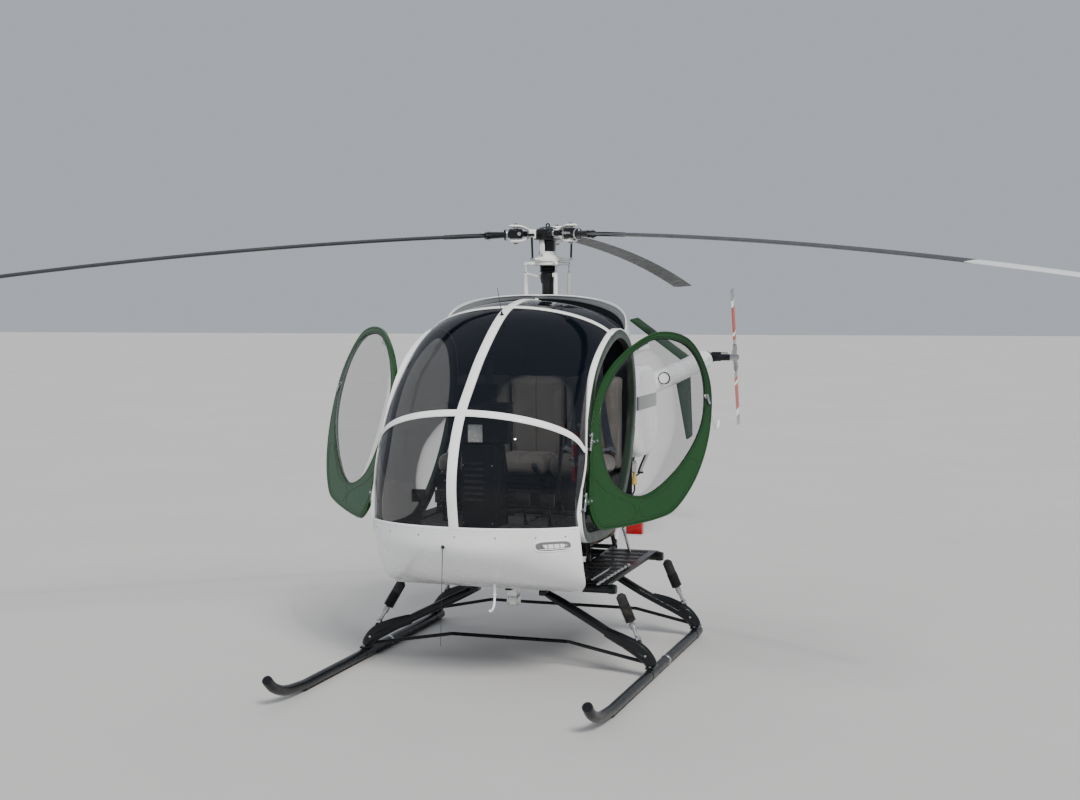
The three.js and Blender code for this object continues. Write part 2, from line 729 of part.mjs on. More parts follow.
function fanShroud() {
  const ring = [[0, 0], [270, 0], [290, 15], [290, 75], [270, 80], [0, 80]];
  return turned(ring, [0, 345 + GAP, 800], [0, 1, 0], 24);
}

function beltDrive() {
  const [y0, y1] = [440, 500];
  const [low, high] = [{ z: 800, r: 110 }, { z: 1425, r: 78 }];
  const pulley = ({ z, r }) => rod([0, y0, z], [0, y1, z], r, r, 20);
  // The outline around both pulleys: half a circle low down and half a circle on top.
  const outline = (extra) => {
    const shape = new THREE.Shape();
    shape.absarc(0, low.z, low.r + extra, Math.PI, 2 * Math.PI);
    shape.absarc(0, high.z, high.r + extra, 0, Math.PI);
    return shape.getPoints(8);
  };
  const belt = new THREE.Shape(outline(9));
  belt.holes.push(new THREE.Path(outline(-3)));
  const loop = new THREE.ExtrudeGeometry(belt, { depth: y1 - y0 - 16, bevelEnabled: false });
  loop.rotateX(Math.PI / 2).translate(0, y1 - 8, 0);
  return fuse(pulley(low), pulley(high), loop, rod([0, 425 + 2 * GAP, low.z], [0, y0 + 1, low.z], 30));
}

function mainGearbox() {
  const casing = [[0, 1470], [94, 1470], [100, 1490], [100, 1590], [80, 1640], [60, 1700], [0, 1700]];
  return fuse(
    turned(casing, [0, 0, 0], [0, 0, 1], 20),
    rod([0, -60, 1425], [0, 440 - GAP, 1425], 70, 45, 16),
    box([-85, 85], [-100, 100], [1346 + GAP, 1480]),
  );
}

const MAST_RADIUS = 41;
function mastTube() {
  const profile = [[0, 1700 + GAP], [MAST_RADIUS, 1700 + GAP], [MAST_RADIUS, 2405]];
  for (let ring = 0; ring < 5; ring++) profile.push([60, 2410 + ring * 12], [48, 2416 + ring * 12]);
  profile.push([48, SWASH_Z - 30], [0, SWASH_Z - 30]);
  return turned(profile, [0, 0, 0], [0, 0, 1], 16);
}

const CONTROL_RODS = [[-150, -10], [72, -60], [160, 40]]; // x and y of the three push rods
function swashplate() {
  const [low, high] = [SWASH_Z - 30 + GAP, SWASH_Z - 8];
  const pieces = [turned([[0, low], [70, low], [70, high], [0, high]], [0, 0, 0], [0, 0, 1], 20)];
  for (const [x, y] of CONTROL_RODS) {
    pieces.push(rod([0, 0, SWASH_Z - 19], [x, y, SWASH_Z - 19], 10));
    pieces.push(rod([x, y, SWASH_Z - 10], [x, y, 2330], 9, 9, 8));
    pieces.push(rod([x, y, 2340], [x * 0.9, y, 1720], 13, 13, 8));
  }
  return fuse(...pieces);
}

const TANK = { x: [330, 610], y: [-20, 500], z: [1205 + GAP, 1815] };
function fuelTank() {
  const rings = [];
  const middle = (TANK.x[0] + TANK.x[1]) / 2;
  for (const [t, fill] of [[0, 0.55], [0.06, 0.82], [0.2, 1], [0.8, 1], [0.94, 0.82], [1, 0.55]]) {
    const x = THREE.MathUtils.lerp(TANK.x[0], TANK.x[1], t);
    const [hy, hz] = [(TANK.y[1] - TANK.y[0]) / 2, (TANK.z[1] - TANK.z[0]) / 2];
    const ring = [];
    for (let i = 0; i < 28; i++) {
      const a = (i / 28) * 2 * Math.PI;
      const round = (c) => Math.sign(c) * Math.abs(c) ** 0.55;
      const y = TANK.y[0] + hy + hy * round(Math.cos(a)) * (0.7 + 0.3 * fill);
      const z = TANK.z[0] + hz + hz * round(Math.sin(a)) * (0.7 + 0.3 * fill);
      ring.push(new Vector3(x, y, z));
    }
    rings.push(ring);
  }
  return loft(rings);
}

function muffler() {
  const can = [[0, 0], [42, 8], [55, 30], [55, 370], [42, 388], [0, 395]];
  return fuse(
    turned(can, [-210, -60, 660], [0, 1, 0], 16),
    rod([-210, 290, 660], [-400, 430, 575], 24, 24, 10),
    rod([-210, 60, 690], [-210, 60, 720 - GAP], 24, 24, 10),
  );
}

// Tail

const boomAxis = BOOM_REAR.clone().sub(BOOM_FRONT).normalize();
const boomAt = (y) => BOOM_FRONT.clone().addScaledVector(boomAxis, (y - BOOM_FRONT.y) / boomAxis.y);

function tailBoom() {
  const length = BOOM_REAR.distanceTo(BOOM_FRONT);
  const profile = [
    [BOOM_RADIUS - BOOM_WALL, 0], [BOOM_RADIUS, 0], [BOOM_RADIUS, length],
    [BOOM_RADIUS - BOOM_WALL, length], [BOOM_RADIUS - BOOM_WALL, 0],
  ];
  return turned(profile, BOOM_FRONT.toArray(), boomAxis.toArray(), 24);
}

const STRUT_Y = 1900;
const STRUT_FOOT_Y = 548;
function boomStruts() {
  const inner = BOOM_RADIUS - 1;
  const outer = BOOM_RADIUS + 10;
  const clamp = [[inner, -20], [outer, -20], [outer, 20], [inner, 20], [inner, -20]];
  const at = boomAt(STRUT_Y);
  const pieces = [turned(clamp, at.toArray(), boomAxis.toArray(), 24)];
  for (const side of [1, -1])
    pieces.push(rod([side * 96, STRUT_Y, at.z - 20], [side * 295, STRUT_FOOT_Y - 10, 560], 16));
  const lugs = box([-400, 400], [400, STRUT_FOOT_Y + GAP], [400, 700]);
  return cut(fuse(...pieces), boomRoom(STRUT_Y - 200, STRUT_Y + 200), lugs);
}

// A thin wing panel between two chords. Each chord: leading edge point, trailing edge point.
function wing(chords, normal, thickness) {
  const side = [[0, 0], [0.08, 0.35], [0.3, 0.5], [0.65, 0.38], [1, 0.06]];
  const rings = chords.map(([lead, trail]) => {
    const [a, b] = [new Vector3(...lead), new Vector3(...trail)];
    const at = ([t, h], sign) => a.clone().lerp(b, t).addScaledVector(normal, sign * h * thickness);
    return [...side.map((s) => at(s, 1)), ...side.slice(1).reverse().map((s) => at(s, -1))];
  });
  return loft(rings);
}

// Room for the boom, with a little to spare, between two places along it.
function boomRoom(y0, y1) {
  return rod(boomAt(y0).toArray(), boomAt(y1).toArray(), BOOM_RADIUS + 2 * GAP, BOOM_RADIUS + 2 * GAP, 24);
}

const STABILIZER = { y: 4180, chord: 330, tilt: 36, length: 640 };
function stabilizer() {
  const { y, chord, tilt, length } = STABILIZER;
  const out = new Vector3(-Math.cos(rad(tilt)), 0, Math.sin(rad(tilt)));
  const normal = new Vector3(Math.sin(rad(tilt)), 0, Math.cos(rad(tilt)));
  const station = (reach, front, rear) =>
    [y + front, y + rear].map((at) => boomAt(at).addScaledVector(out, reach).toArray());
  const start = BOOM_RADIUS - 20;
  const panel = wing(
    [station(start, -chord / 2, chord / 2), station(start + length, -chord / 2 + 25, chord / 2)],
    normal,
    28,
  );
  return cut(solidOf(panel), boomRoom(y - chord, y + chord));
}

const FIN = { root: [3500, 4040], tip: [3890, 4125], depth: 560 };
function ventralFin() {
  const row = ([front, rear], drop) => [front, rear].map((y) => {
    const p = boomAt(y);
    return [0, y, p.z - BOOM_RADIUS + 10 - drop];
  });
  const panel = wing([row(FIN.root, 0), row(FIN.tip, FIN.depth)], new Vector3(1, 0, 0), 24);
  return cut(solidOf(panel), boomRoom(FIN.root[0] - 200, FIN.root[1] + 200));
}

const [TAIL_SKID_Y, TAIL_SKID_Z] = [4625, 1545];
function tailGearbox() {
  const { y, z } = TAIL_HUB;
  const face = BOOM_REAR.clone().addScaledVector(boomAxis, GAP).toArray();
  return fuse(
    turned([[0, 0], [86, 0], [86, 20], [58, 45], [52, 120], [0, 130]], face, boomAxis.toArray(), 16),
    rod([0, TAIL_SKID_Y, 1600], [0, TAIL_SKID_Y, TAIL_SKID_Z], 18),
    rod([-60, y, z], [234 - GAP, y, z], 48, 30, 14),
  );
}

// Columns: y, z.
const TAIL_SKID = [
  [TAIL_SKID_Y, TAIL_SKID_Z + 10],
  [4700, 1400],
  [4850, 1180],
  [5050, 975],
  [5180, 945],
  [5235, 1010],
];
function tailSkid() {
  const tube = pipe(TAIL_SKID.map(([y, z]) => [0, y, z]), 11, 16);
  return cut(solidOf(tube), box([-50, 50], [4500, 4800], [TAIL_SKID_Z - GAP, 1700]));
}

// Landing gear

function skid(side) {
  const x = side * HALF_TRACK;
  const bend = SKID_TIP_Y + 390; // where the runner leaves the ground
  const curve = [[x, bend - 2, SKID_Z], [x, bend - 160, SKID_Z + 12], [x, bend - 290, SKID_Z + 56]];
  const toe = [x, SKID_TIP_Y + 20, SKID_Z + 135];
  return fuse(
    rod([x, SKID_REAR_Y, SKID_Z], [x, bend, SKID_Z], SKID_RADIUS, SKID_RADIUS, 12),
    pipe([[x, bend + 10, SKID_Z], ...curve, toe], SKID_RADIUS, 10, 12),
    box([x - 18, x + 18], [bend + 60, SKID_REAR_Y - 30], [0, SHOE_THICK]),
  );
}

const STRUTS = [
  { place: "front", y: -880, pivotY: FRONT_BEAM.y + 30, pivotZ: FRONT_BEAM.z - BEAM - 20 },
  { place: "rear", y: 270, pivotY: REAR_BEAM.y + 20, pivotZ: REAR_BEAM.z - BEAM - 20 },
];
const DAMPER_TOPS = {
  front: [700, FRONT_BEAM.y, FRONT_BEAM.z],
  rear: [740, REAR_BEAM.y, REAR_BEAM.z],
};
const DAMPER_FOOT_X = 850;

function gearStrut(side, { y, pivotY, pivotZ }) {
  const skidTop = SKID_Z + SKID_RADIUS + GAP;
  const line = [
    [225, pivotY, pivotZ],
    [560, (pivotY + y) / 2, 300],
    [820, y, 165],
    [905, y, 105],
    [HALF_TRACK, y, skidTop + 8],
  ];
  const leg = pipe(line.map(([x, ...rest]) => [side * x, ...rest]), 34, 9, 8, 0.55);
  const [skidX, hookX] = [side * HALF_TRACK, side * 225];
  const foot = box([skidX - 24, skidX + 24], [y - 60, y + 60], [skidTop, skidTop + 14]);
  const lug = rod([side * 848, y, 140], [side * 850, y, 225], 12, 12, 10);
  const hookZ = [pivotZ - 14, pivotZ + 20 - GAP];
  const hook = box([hookX - 24, hookX + 24], [pivotY - 60, pivotY + 20], hookZ);
  return cut(fuse(leg, foot, lug, hook), box([-2000, 2000], [y - 400, y + 400], [-100, skidTop]));
}

function damper(side, { place, y }) {
  const [tx, ty, tz] = DAMPER_TOPS[place];
  const top = new Vector3(side * tx, ty, tz);
  const foot = new Vector3(side * DAMPER_FOOT_X, y, 225 + GAP);
  const length = top.distanceTo(foot);
  const profile = [[0, 0], [16, 0], [16, 22], [9, 26], [9, length * 0.36]];
  for (let ring = 0; ring < 4; ring++) {
    const d = length * 0.36 + 4 + ring * 24;
    profile.push([34, d], [27, d + 12]);
  }
  profile.push([30, length - 42], [16, length - 30], [16, length], [0, length]);
  const body = turned(profile, foot.toArray(), top.clone().sub(foot).toArray(), 8);
  const beam = place === "front" ? FRONT_BEAM : REAR_BEAM;
  const [reach, wide] = [beam.half + GAP, BEAM + 2 * GAP];
  const room = rod([-reach, beam.y, beam.z], [reach, beam.y, beam.z], wide, wide, 12);
  return largest(cut(solidOf(body), room, box([-2000, 2000], [y - 400, y + 400], [0, 225 + GAP])));
}

function stepPlate(side) {
  const shape = new THREE.Shape();
  const rise = (REAR_BEAM.z - FRONT_BEAM.z) / (REAR_BEAM.y - FRONT_BEAM.y);
  const top = (y) => FRONT_BEAM.z + BEAM + GAP + rise * (y - FRONT_BEAM.y);
  shape.moveTo(350, FRONT_BEAM.y - 20);
  shape.lineTo(640, FRONT_BEAM.y - 20);
  shape.lineTo(690, REAR_BEAM.y + 20);
  shape.lineTo(350, REAR_BEAM.y + 20);
  const plate = new THREE.ExtrudeGeometry(shape, { depth: 6, bevelEnabled: false });
  const position = plate.getAttribute("position");
  for (let i = 0; i < position.count; i++) {
    const [x, y, z] = [position.getX(i), position.getY(i), position.getZ(i)];
    position.setXYZ(i, side * x, y, z + top(y));
  }
  return plate;
}

function landingLamp() {
  return fuse(
    box([-32, 32], [-760, -680], [420, 490]),
    turned([[0, 0], [40, 0], [44, 20], [40, 60], [0, 60]], [0, -715, 362], [0, 0, 1], 16),
    box([-20, 20], [-820, -700], [468, FRONT_BEAM.z - BEAM - GAP]),
  );
}

// The pitot tube drops from under the nose and turns forward.
const PITOT = [[135, -1400, 660], [136, -1412, 560], [140, -1440, 505], [146, -1492, 486], [150, -1530, 492]];
function pitotTube() {
  const shell = patch(nose, [0, 0.45, 3], [0, NOSE_ROWS.length - 1, 8], -60, 2 + GAP);
  return largest(solidOf(pipe(PITOT, 8, 12, 8)).subtract(solidOf(shell)));
}

// Main rotor

const BLADES = [0, 120, 240];
const droopAt = (r) => HUB_Z - BLADE_DROOP * (0.7 * (r / ROTOR_RADIUS) ** 2 + (0.3 * r) / ROTOR_RADIUS);

function rotorBlade() {
  const rings = [];
  const side = [[-0.28, 0], [-0.25, 0.4], [-0.1, 0.5], [0.2, 0.42], [0.72, 0.05]];
  for (const t of [0, 0.03, 0.25, 0.5, 0.75, 1]) {
    const r = BLADE_ROOT + (ROTOR_RADIUS - BLADE_ROOT) * t;
    const [chord, thick] = t === 0 ? [80, 26] : [BLADE_CHORD, 24];
    const at = ([c, h], sign) => new Vector3(c * chord, r, droopAt(r) + sign * h * thick);
    rings.push([...side.map((s) => at(s, 1)), ...side.slice(1).reverse().map((s) => at(s, -1))]);
  }
  return loft(rings);
}

function rotorHub() {
  const core = [
    [0, SWASH_Z + 40], [45, SWASH_Z + 40], [45, HUB_Z - 50], [95, HUB_Z - 40],
    [95, HUB_Z + 25], [50, HUB_Z + 45], [26, HUB_Z + 70], [0, HUB_Z + 70],
  ];
  const low = SWASH_Z - 8 + GAP;
  const turningRing = [[0, low], [78, low], [78, SWASH_Z + 18], [45, SWASH_Z + 42], [0, SWASH_Z + 42]];
  const pieces = [core, turningRing].map((profile) => turned(profile, [0, 0, 0], [0, 0, 1], 16));
  for (const angle of BLADES) {
    const turn = rad(angle);
    const neck = box([-30, 30], [60, 180], [HUB_Z - 34, HUB_Z + 26]);
    const fork = box([-38, 38], [165, 262], [HUB_Z - 62, HUB_Z + 56]);
    const arm = box([-34, 34], [250, BLADE_ROOT - GAP], [HUB_Z - 28, HUB_Z + 10]);
    const cuff = rod([0, 230, HUB_Z - 12], [0, 380, HUB_Z - 22], 44, 40, 10);
    const horn = box([-130, -20], [150, 185], [HUB_Z - 22, HUB_Z]);
    const link = rod([-120, 168, HUB_Z - 12], [-66, 20, SWASH_Z + 8], 9, 9, 6);
    pieces.push(...[neck, fork, arm, cuff, horn, link].map((piece) => piece.rotateZ(turn)));
  }
  return fuse(...pieces);
}

const rotor = new THREE.Group();
rotor.rotation.z = rad(ROTOR_AZIMUTH);
root.add(rotor);
add("rotor_hub", rotorHub(), WHITE, rotor);
BLADES.forEach((angle, n) => {
  const arm = new THREE.Group();
  arm.rotation.z = rad(angle);
  rotor.add(arm);
  add(`rotor_blade_${n + 1}`, rotorBlade(), BLADE_GREY, arm);
});

// Tail rotor

const TAIL_ROOT = 130;
function tailBlade() {
  const side = [[-0.3, 0], [-0.25, 0.4], [0, 0.5], [0.3, 0.35], [0.7, 0.05]];
  const rings = [TAIL_ROOT, TAIL_ROOT + 25, 400, TAIL_RADIUS].map((r, n) => {
    const chord = n === 0 ? 60 : TAIL_CHORD;
    const at = ([c, h], sign) => new Vector3(sign * h * 15, c * chord, r);
    return [...side.map((s) => at(s, 1)), ...side.slice(1).reverse().map((s) => at(s, -1))];
  });
  return loft(rings);
}
const tailRotor = new THREE.Group();
tailRotor.position.copy(TAIL_HUB);
tailRotor.rotation.x = rad(TAIL_TILT);
root.add(tailRotor);
const tailHub = fuse(
  rod([-50, 0, 0], [36, 0, 0], 28, 28, 14),
  rod([0, 0, -TAIL_ROOT + GAP], [0, 0, TAIL_ROOT - GAP], 17, 17, 12),
);
add("tail_rotor_hub", tailHub, ALUMINIUM, tailRotor);
for (const n of [1, 2]) {
  const arm = new THREE.Group();
  arm.rotation.x = n === 1 ? 0 : Math.PI;
  tailRotor.add(arm);
  add(`tail_rotor_blade_${n}`, tailBlade(), RED, arm);
}

// The rest of the airframe

add("cabin_frame", cabinFrame(), WHITE);
windscreens();
add("nose_shell", noseShell(), WHITE);
add("roof_cap", roofCap(), WHITE);
add("cabin_floor", cabinFloor(), BLACK);
add("rear_bulkhead", bulkhead(), BLACK);
add("seat_base", seatBase(), BLACK);
const seatWidth = [-SEAT_HALF, SEAT_HALF];
const cushions = roundedBlock(seatWidth, [SEAT_FRONT, -275], [SEAT_TOP + GAP, 1285], 60);
const backs = roundedBlock(seatWidth, [-272, BULKHEAD_Y - GAP], [SEAT_TOP + GAP, 1780], 50);
add("seat_cushions", cushions, GREY_CLOTH);
add("seat_backs", backs, GREY_CLOTH);
add("instrument_console", instrumentConsole(), BLACK);
add("flight_controls", controls(), BLACK);
add("fire_extinguisher", extinguisher(), RED);
add("centre_frame", centreFrame(), BLACK);
add("engine", engine(), ALUMINIUM);
add("fan_shroud", fanShroud(), BLACK);
add("belt_drive", beltDrive(), BLACK);
add("main_gearbox", mainGearbox(), ALUMINIUM);
add("mast_tube", mastTube(), BLACK);
add("swashplate_and_rods", swashplate(), WHITE);
add("fuel_tank", fuelTank(), WHITE);
add("exhaust_muffler", muffler(), STEEL);
add("tail_boom", tailBoom(), WHITE);
add("boom_struts", boomStruts(), WHITE);
add("horizontal_stabilizer", stabilizer(), GREEN);
add("ventral_fin", ventralFin(), GREEN);
add("tail_gearbox", tailGearbox(), BLACK);
add("tail_skid", tailSkid(), WHITE);
for (const [word, side] of [["left", 1], ["right", -1]]) {
  add(`skid_${word}`, skid(side), BLACK);
  add(`step_plate_${word}`, stepPlate(side), BLACK);
  for (const strut of STRUTS) {
    add(`${strut.place}_strut_${word}`, gearStrut(side, strut), BLACK);
    add(`${strut.place}_damper_${word}`, damper(side, strut), BLACK);
  }
}
add("landing_lamp", landingLamp(), ALUMINIUM);
add("pitot_tube", pitotTube(), WHITE);

const bounds = new THREE.Box3().setFromObject(root, true);
root.position.y = -(bounds.min.y + bounds.max.y) / 2;
root.updateMatrixWorld(true);
export default root;
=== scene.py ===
# The looks of a light helicopter on skids. Shapes are in millimetres with the mast axis at x = 0, y = 0,
# X to the helicopter's left, Y aft and Z up, as in the part's source. make() turns them into metres
# and shifts them into the frame.
import json
from math import copysign, cos, pi, radians, sin, sqrt

import bmesh
import bpy
import numpy as np
from mathutils import Matrix, Vector


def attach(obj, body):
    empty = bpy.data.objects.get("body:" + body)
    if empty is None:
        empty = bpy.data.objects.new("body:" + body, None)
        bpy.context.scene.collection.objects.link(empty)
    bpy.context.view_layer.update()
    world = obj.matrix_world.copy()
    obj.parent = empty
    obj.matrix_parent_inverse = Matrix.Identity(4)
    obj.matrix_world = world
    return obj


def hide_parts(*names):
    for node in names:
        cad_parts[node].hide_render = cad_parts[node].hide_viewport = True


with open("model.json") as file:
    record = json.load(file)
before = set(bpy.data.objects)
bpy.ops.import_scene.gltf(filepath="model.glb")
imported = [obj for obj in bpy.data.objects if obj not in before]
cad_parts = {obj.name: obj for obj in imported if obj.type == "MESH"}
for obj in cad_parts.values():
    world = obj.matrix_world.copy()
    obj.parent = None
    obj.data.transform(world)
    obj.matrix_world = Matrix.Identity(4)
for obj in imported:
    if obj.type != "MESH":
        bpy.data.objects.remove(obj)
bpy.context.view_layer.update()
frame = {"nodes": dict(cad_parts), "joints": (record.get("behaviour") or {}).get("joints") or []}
SHIFT = next(j for j in frame["joints"] if j["name"] == "main_rotor_spin")["pos_m"][1]

LEFT, AFT, UP = (1, 0, 0), (0, 1, 0), (0, 0, 1)
HINGE = (650.0, -1300.0, 1200.0)
HINGE_LEAN_IN = 0.034
HINGE_LEAN_AFT = 0.474
HINGE_HEIGHTS = (1110.0, 1440.0)
KNUCKLE = 9.0
KNUCKLE_HALF = 28.0
DOORS = (("left", 1, 41.6), ("right", -1, 52.3))
DOOR_THICK = 22.0
HUB_Z = 2682.0
ROTOR_RADIUS = 4090.0
ROTOR_ANGLE = 1.7
BLADE_DROOP = 353.0
TAIL_HUB = (284.0, 4650.0, 1660.0)
TAIL_ROTOR_ANGLE = 15.4
BOOM_FRONT = np.array([0.0, 540.0, 1415.0])
BOOM_REAR = np.array([0.0, 4560.0, 1635.0])
BOOM_RADIUS = 88.0
HALF_TRACK = 930.0
SKID_Z = 35.0

# Paints and finishes


class Finish:
    """A node material that is built up from a few procedural layers."""

    def __init__(self, name, colour, rough, metal=0.0, **sockets):
        self.material = bpy.data.materials.new(name)
        self.material.use_nodes = True
        tree = self.material.node_tree
        self.nodes, self.links = tree.nodes, tree.links
        self.shader = self.nodes["Principled BSDF"]
        self.fill(self.shader, Metallic=metal, **sockets)
        self.colour, self.rough = colour, rough
        self.place = self.node("TexCoord", "Object")

    def fill(self, node, **inputs):
        """Sets each input to a value, or links it to another node's output."""
        for name, value in inputs.items():
            socket = node.inputs[name.replace("_", " ")]
            if isinstance(value, bpy.types.NodeSocket):
                self.links.new(value, socket)
            else:
                socket.default_value = value
        return node

    def node(self, kind, output, **inputs):
        return self.fill(self.nodes.new("ShaderNode" + kind), **inputs).outputs[output]

    def noise(self, scale, detail=4.0, stretch=(1, 1, 1), rough=0.55):
        spread = self.node("Mapping", "Vector", Vector=self.place, Scale=stretch)
        return self.node("TexNoise", "Fac", Vector=spread, Scale=scale, Detail=detail, Roughness=rough)

    def span(self, factor, low, high, out_low, out_high):
        return self.node("MapRange", "Result", Value=factor, From_Min=low, From_Max=high, To_Min=out_low,
            To_Max=out_high)

    def vary(self, scale, spread, stretch=(1, 1, 1)):
        """Colour that drifts a little lighter and darker over the surface."""
        ramp = self.fill(self.nodes.new("ShaderNodeValToRGB"), Fac=self.noise(scale, stretch=stretch))
        for element, at, share in zip(ramp.color_ramp.elements, (0.3, 0.7), (1 - spread, 1 + spread)):
            element.position = at
            element.color = (*(min(1.0, c * share) for c in self.colour), 1.0)
        self.tint = ramp.outputs["Color"]
        return self

    def soil(self, colour, scale, start, end, amount, stretch=(1, 1, 1)):
        """Patches of dust, oil or wear over the colour."""
        mask = self.span(self.noise(scale, 8.0, stretch, 0.65), start, end, 0.0, amount)
        mix = self.nodes.new("ShaderNodeMix")
        mix.data_type = "RGBA"
        self.tint = self.fill(mix, Factor=mask, A=self.tint, B=(*colour, 1.0)).outputs["Result"]
        return self

    def bump(self, height, depth, strength):
        self.fill(self.shader, Normal=self.node("Bump", "Normal", Strength=strength, Distance=depth, Height=height))
        return self

    def done(self, scale=14.0, spread=0.25):
        """Joins the colour and a roughness that varies by the given share."""
        low, high = self.rough * (1 - spread), min(1.0, self.rough * (1 + spread))
        rough = self.span(self.noise(scale, 6.0), 0.3, 0.7, low, high)
        self.fill(self.shader, Base_Color=self.tint, Roughness=rough)
        return self.material


DUST = (0.30, 0.27, 0.22)
OIL = (0.02, 0.017, 0.014)


def painted(name, colour, rough, coat=0.6, soil=0.25, **sockets):
    finish = Finish(name, colour, rough, Coat_Weight=coat, Coat_Roughness=0.08, **sockets)
    finish.vary(2.5, 0.05).soil(DUST, 2.2, 0.55, 0.8, soil, (1, 1, 0.35))
    return finish.bump(finish.noise(9.0, 2.0), 0.0004, 0.25).done(18.0, 0.2)


def metal(name, colour, rough, grain, stretch=(1, 1, 1), soil=0.3):
    finish = Finish(name, colour, rough, 1.0)
    finish.vary(30.0, 0.12, stretch).soil(OIL, 9.0, 0.5, 0.75, soil)
    return finish.bump(finish.noise(260.0, 3.0, stretch), grain, 0.4).done(40.0, 0.3)


def matt(name, colour, rough, grain=0.0003, scale=320.0, spread=0.15, dust=0.25, **sockets):
    finish = Finish(name, colour, rough, **sockets)
    finish.vary(11.0, spread).soil(DUST, 6.0, 0.55, 0.85, dust)
    return finish.bump(finish.noise(scale, 3.0), grain, 0.5).done(25.0, 0.2)


def acrylic(name, colour, facing, edge, rough=0.02, coat=1.0):
    """Clear plastic: little of it shows head on, and more of its gloss at a glancing angle."""
    finish = Finish(name, colour, rough, IOR=1.5, Coat_Weight=coat, Coat_IOR=1.7, Coat_Roughness=0.015)
    alpha = finish.span(finish.node("Fresnel", "Fac", IOR=1.5), 0.04, 0.7, facing, edge)
    finish.fill(finish.shader, Specular_IOR_Level=0.5 + 0.4 * coat, Alpha=alpha)
    finish.vary(1.5, 0.1)
    return finish.bump(finish.noise(2.2, 1.0), 0.0012, 0.1).done(5.0, 0.3)


def webbing(name, colour):
    """Woven strap."""
    finish = Finish(name, colour, 0.8, Sheen_Weight=0.3).vary(40.0, 0.2)
    wave = finish.node("TexWave", "Fac", Vector=finish.place, Scale=260.0, Distortion=0.6)
    return finish.bump(wave, 0.0004, 0.6).done()


def leather(name, colour):
    """Grained vinyl of the seats."""
    finish = Finish(name, colour, 0.42, Sheen_Weight=0.1, Coat_Weight=0.12, Coat_Roughness=0.35)
    finish.vary(5.0, 0.14).soil((0.05, 0.045, 0.04), 4.0, 0.55, 0.85, 0.35)
    cells = finish.node("TexVoronoi", "Distance", Vector=finish.place, Scale=420.0)
    return finish.bump(cells, 0.00035, 0.45).done(9.0, 0.25)


WHITE = painted("white_paint", (0.80, 0.81, 0.81), 0.28, soil=0.12)
# Grey that stands for shade: painted shade on the roof lip's face and inside the nose vent.
GREY_PAINTED_SHADE = painted("grey_painted_shade", (0.15, 0.16, 0.165), 0.45, 0.2, 0.1)
WHITE_WORKING = painted("white_working_paint", (0.74, 0.74, 0.72), 0.42, 0.2, 0.45)
GREEN = painted("green_paint", (0.005, 0.042, 0.006), 0.26, 0.35, 0.02)
# The green paint darkened: painted shade on the tail's stabilizer and fin.
TAIL_GREEN_PAINTED_SHADE = painted("green_tail_painted_shade", (0.004, 0.027, 0.005), 0.55, 0.0, 0.02, Specular_IOR_Level=0.2)
# Darker green for thin beads: painted shade of the door's pressed grooves.
GROOVE_PAINTED_SHADE = painted("green_groove_painted_shade", (0.003, 0.022, 0.005), 0.4, 0.2, 0.1)
# The green paint darkened: painted shade on the door openings' rims and the cabin's hinge leaves.
JAMB_GREEN_PAINTED_SHADE = painted("green_jamb_painted_shade", (0.006, 0.022, 0.009), 0.42, 0.15, 0.05)
RED = painted("red_paint", (0.50, 0.014, 0.018), 0.25, 0.7, 0.1)
BOTTLE_RED = painted("bottle_red_paint", (0.85, 0.012, 0.014), 0.22, 0.8, 0.02)
TAIL_RED = painted("tail_blade_red_paint", (0.42, 0.050, 0.022), 0.35, 0.3, 0.2)
YELLOW = painted("yellow_cap", (0.72, 0.52, 0.10), 0.4, 0.3, 0.2)
BLACK = painted("black_enamel", (0.005, 0.006, 0.007), 0.3, 0.1, 0.02, Specular_IOR_Level=0.32)
BLADE_GREY = painted("blade_paint", (0.034, 0.037, 0.041), 0.5, 0.0, 0.05)
RUBBER = matt("bellows_rubber", (0.016, 0.016, 0.017), 0.62)
BLACK_TRIM = matt("black_trim", (0.005, 0.006, 0.008), 0.6, 0.0002, 500.0, dust=0.02, Specular_IOR_Level=0.25)
CARPET = matt("floor_carpet", (0.018, 0.019, 0.021), 0.95, 0.0015, 900.0, 0.35, 0.12, Sheen_Weight=0.1)
CAST = metal("cast_alloy", (0.52, 0.53, 0.54), 0.42, 0.0004)
STEEL = metal("bare_steel", (0.60, 0.60, 0.60), 0.25, 0.0001, (1, 1, 6))
SILVER = metal("silver_case", (0.72, 0.72, 0.70), 0.3, 0.0001, (6, 1, 1), 0.1)
DARK_STEEL = metal("dark_steel", (0.10, 0.10, 0.11), 0.38, 0.0003)
EXHAUST = metal("exhaust_steel_tint", (0.33, 0.26, 0.21), 0.45, 0.0004, soil=0.55)
BELT = matt("belt_rubber", (0.02, 0.02, 0.021), 0.7)
SMOKE = acrylic("smoke_acrylic", (0.003, 0.005, 0.010), 0.17, 0.85, coat=0.35)
CLEAR = acrylic("clear_acrylic", (0.02, 0.026, 0.034), 0.02, 0.34)
BAND = acrylic("tank_band_plastic", (0.016, 0.024, 0.036), 0.93, 1.0, 0.12)
LENS = acrylic("lamp_glass", (0.45, 0.48, 0.50), 0.35, 0.95)
SEAT = leather("seat_vinyl", (0.085, 0.079, 0.071))
WEBBING = webbing("harness_webbing", (0.012, 0.016, 0.028))

# Shapes


def unit(v):
    v = np.asarray(v, float)
    return v / np.linalg.norm(v)


def lattice(rows, columns, closed=False):
    """Quads over rows of points."""
    wrap = columns if closed else columns - 1
    return [
        (r * columns + c, r * columns + (c + 1) % columns, (r + 1) * columns + (c + 1) % columns,
            (r + 1) * columns + c)
        for r in range(rows - 1)
        for c in range(wrap)
    ]


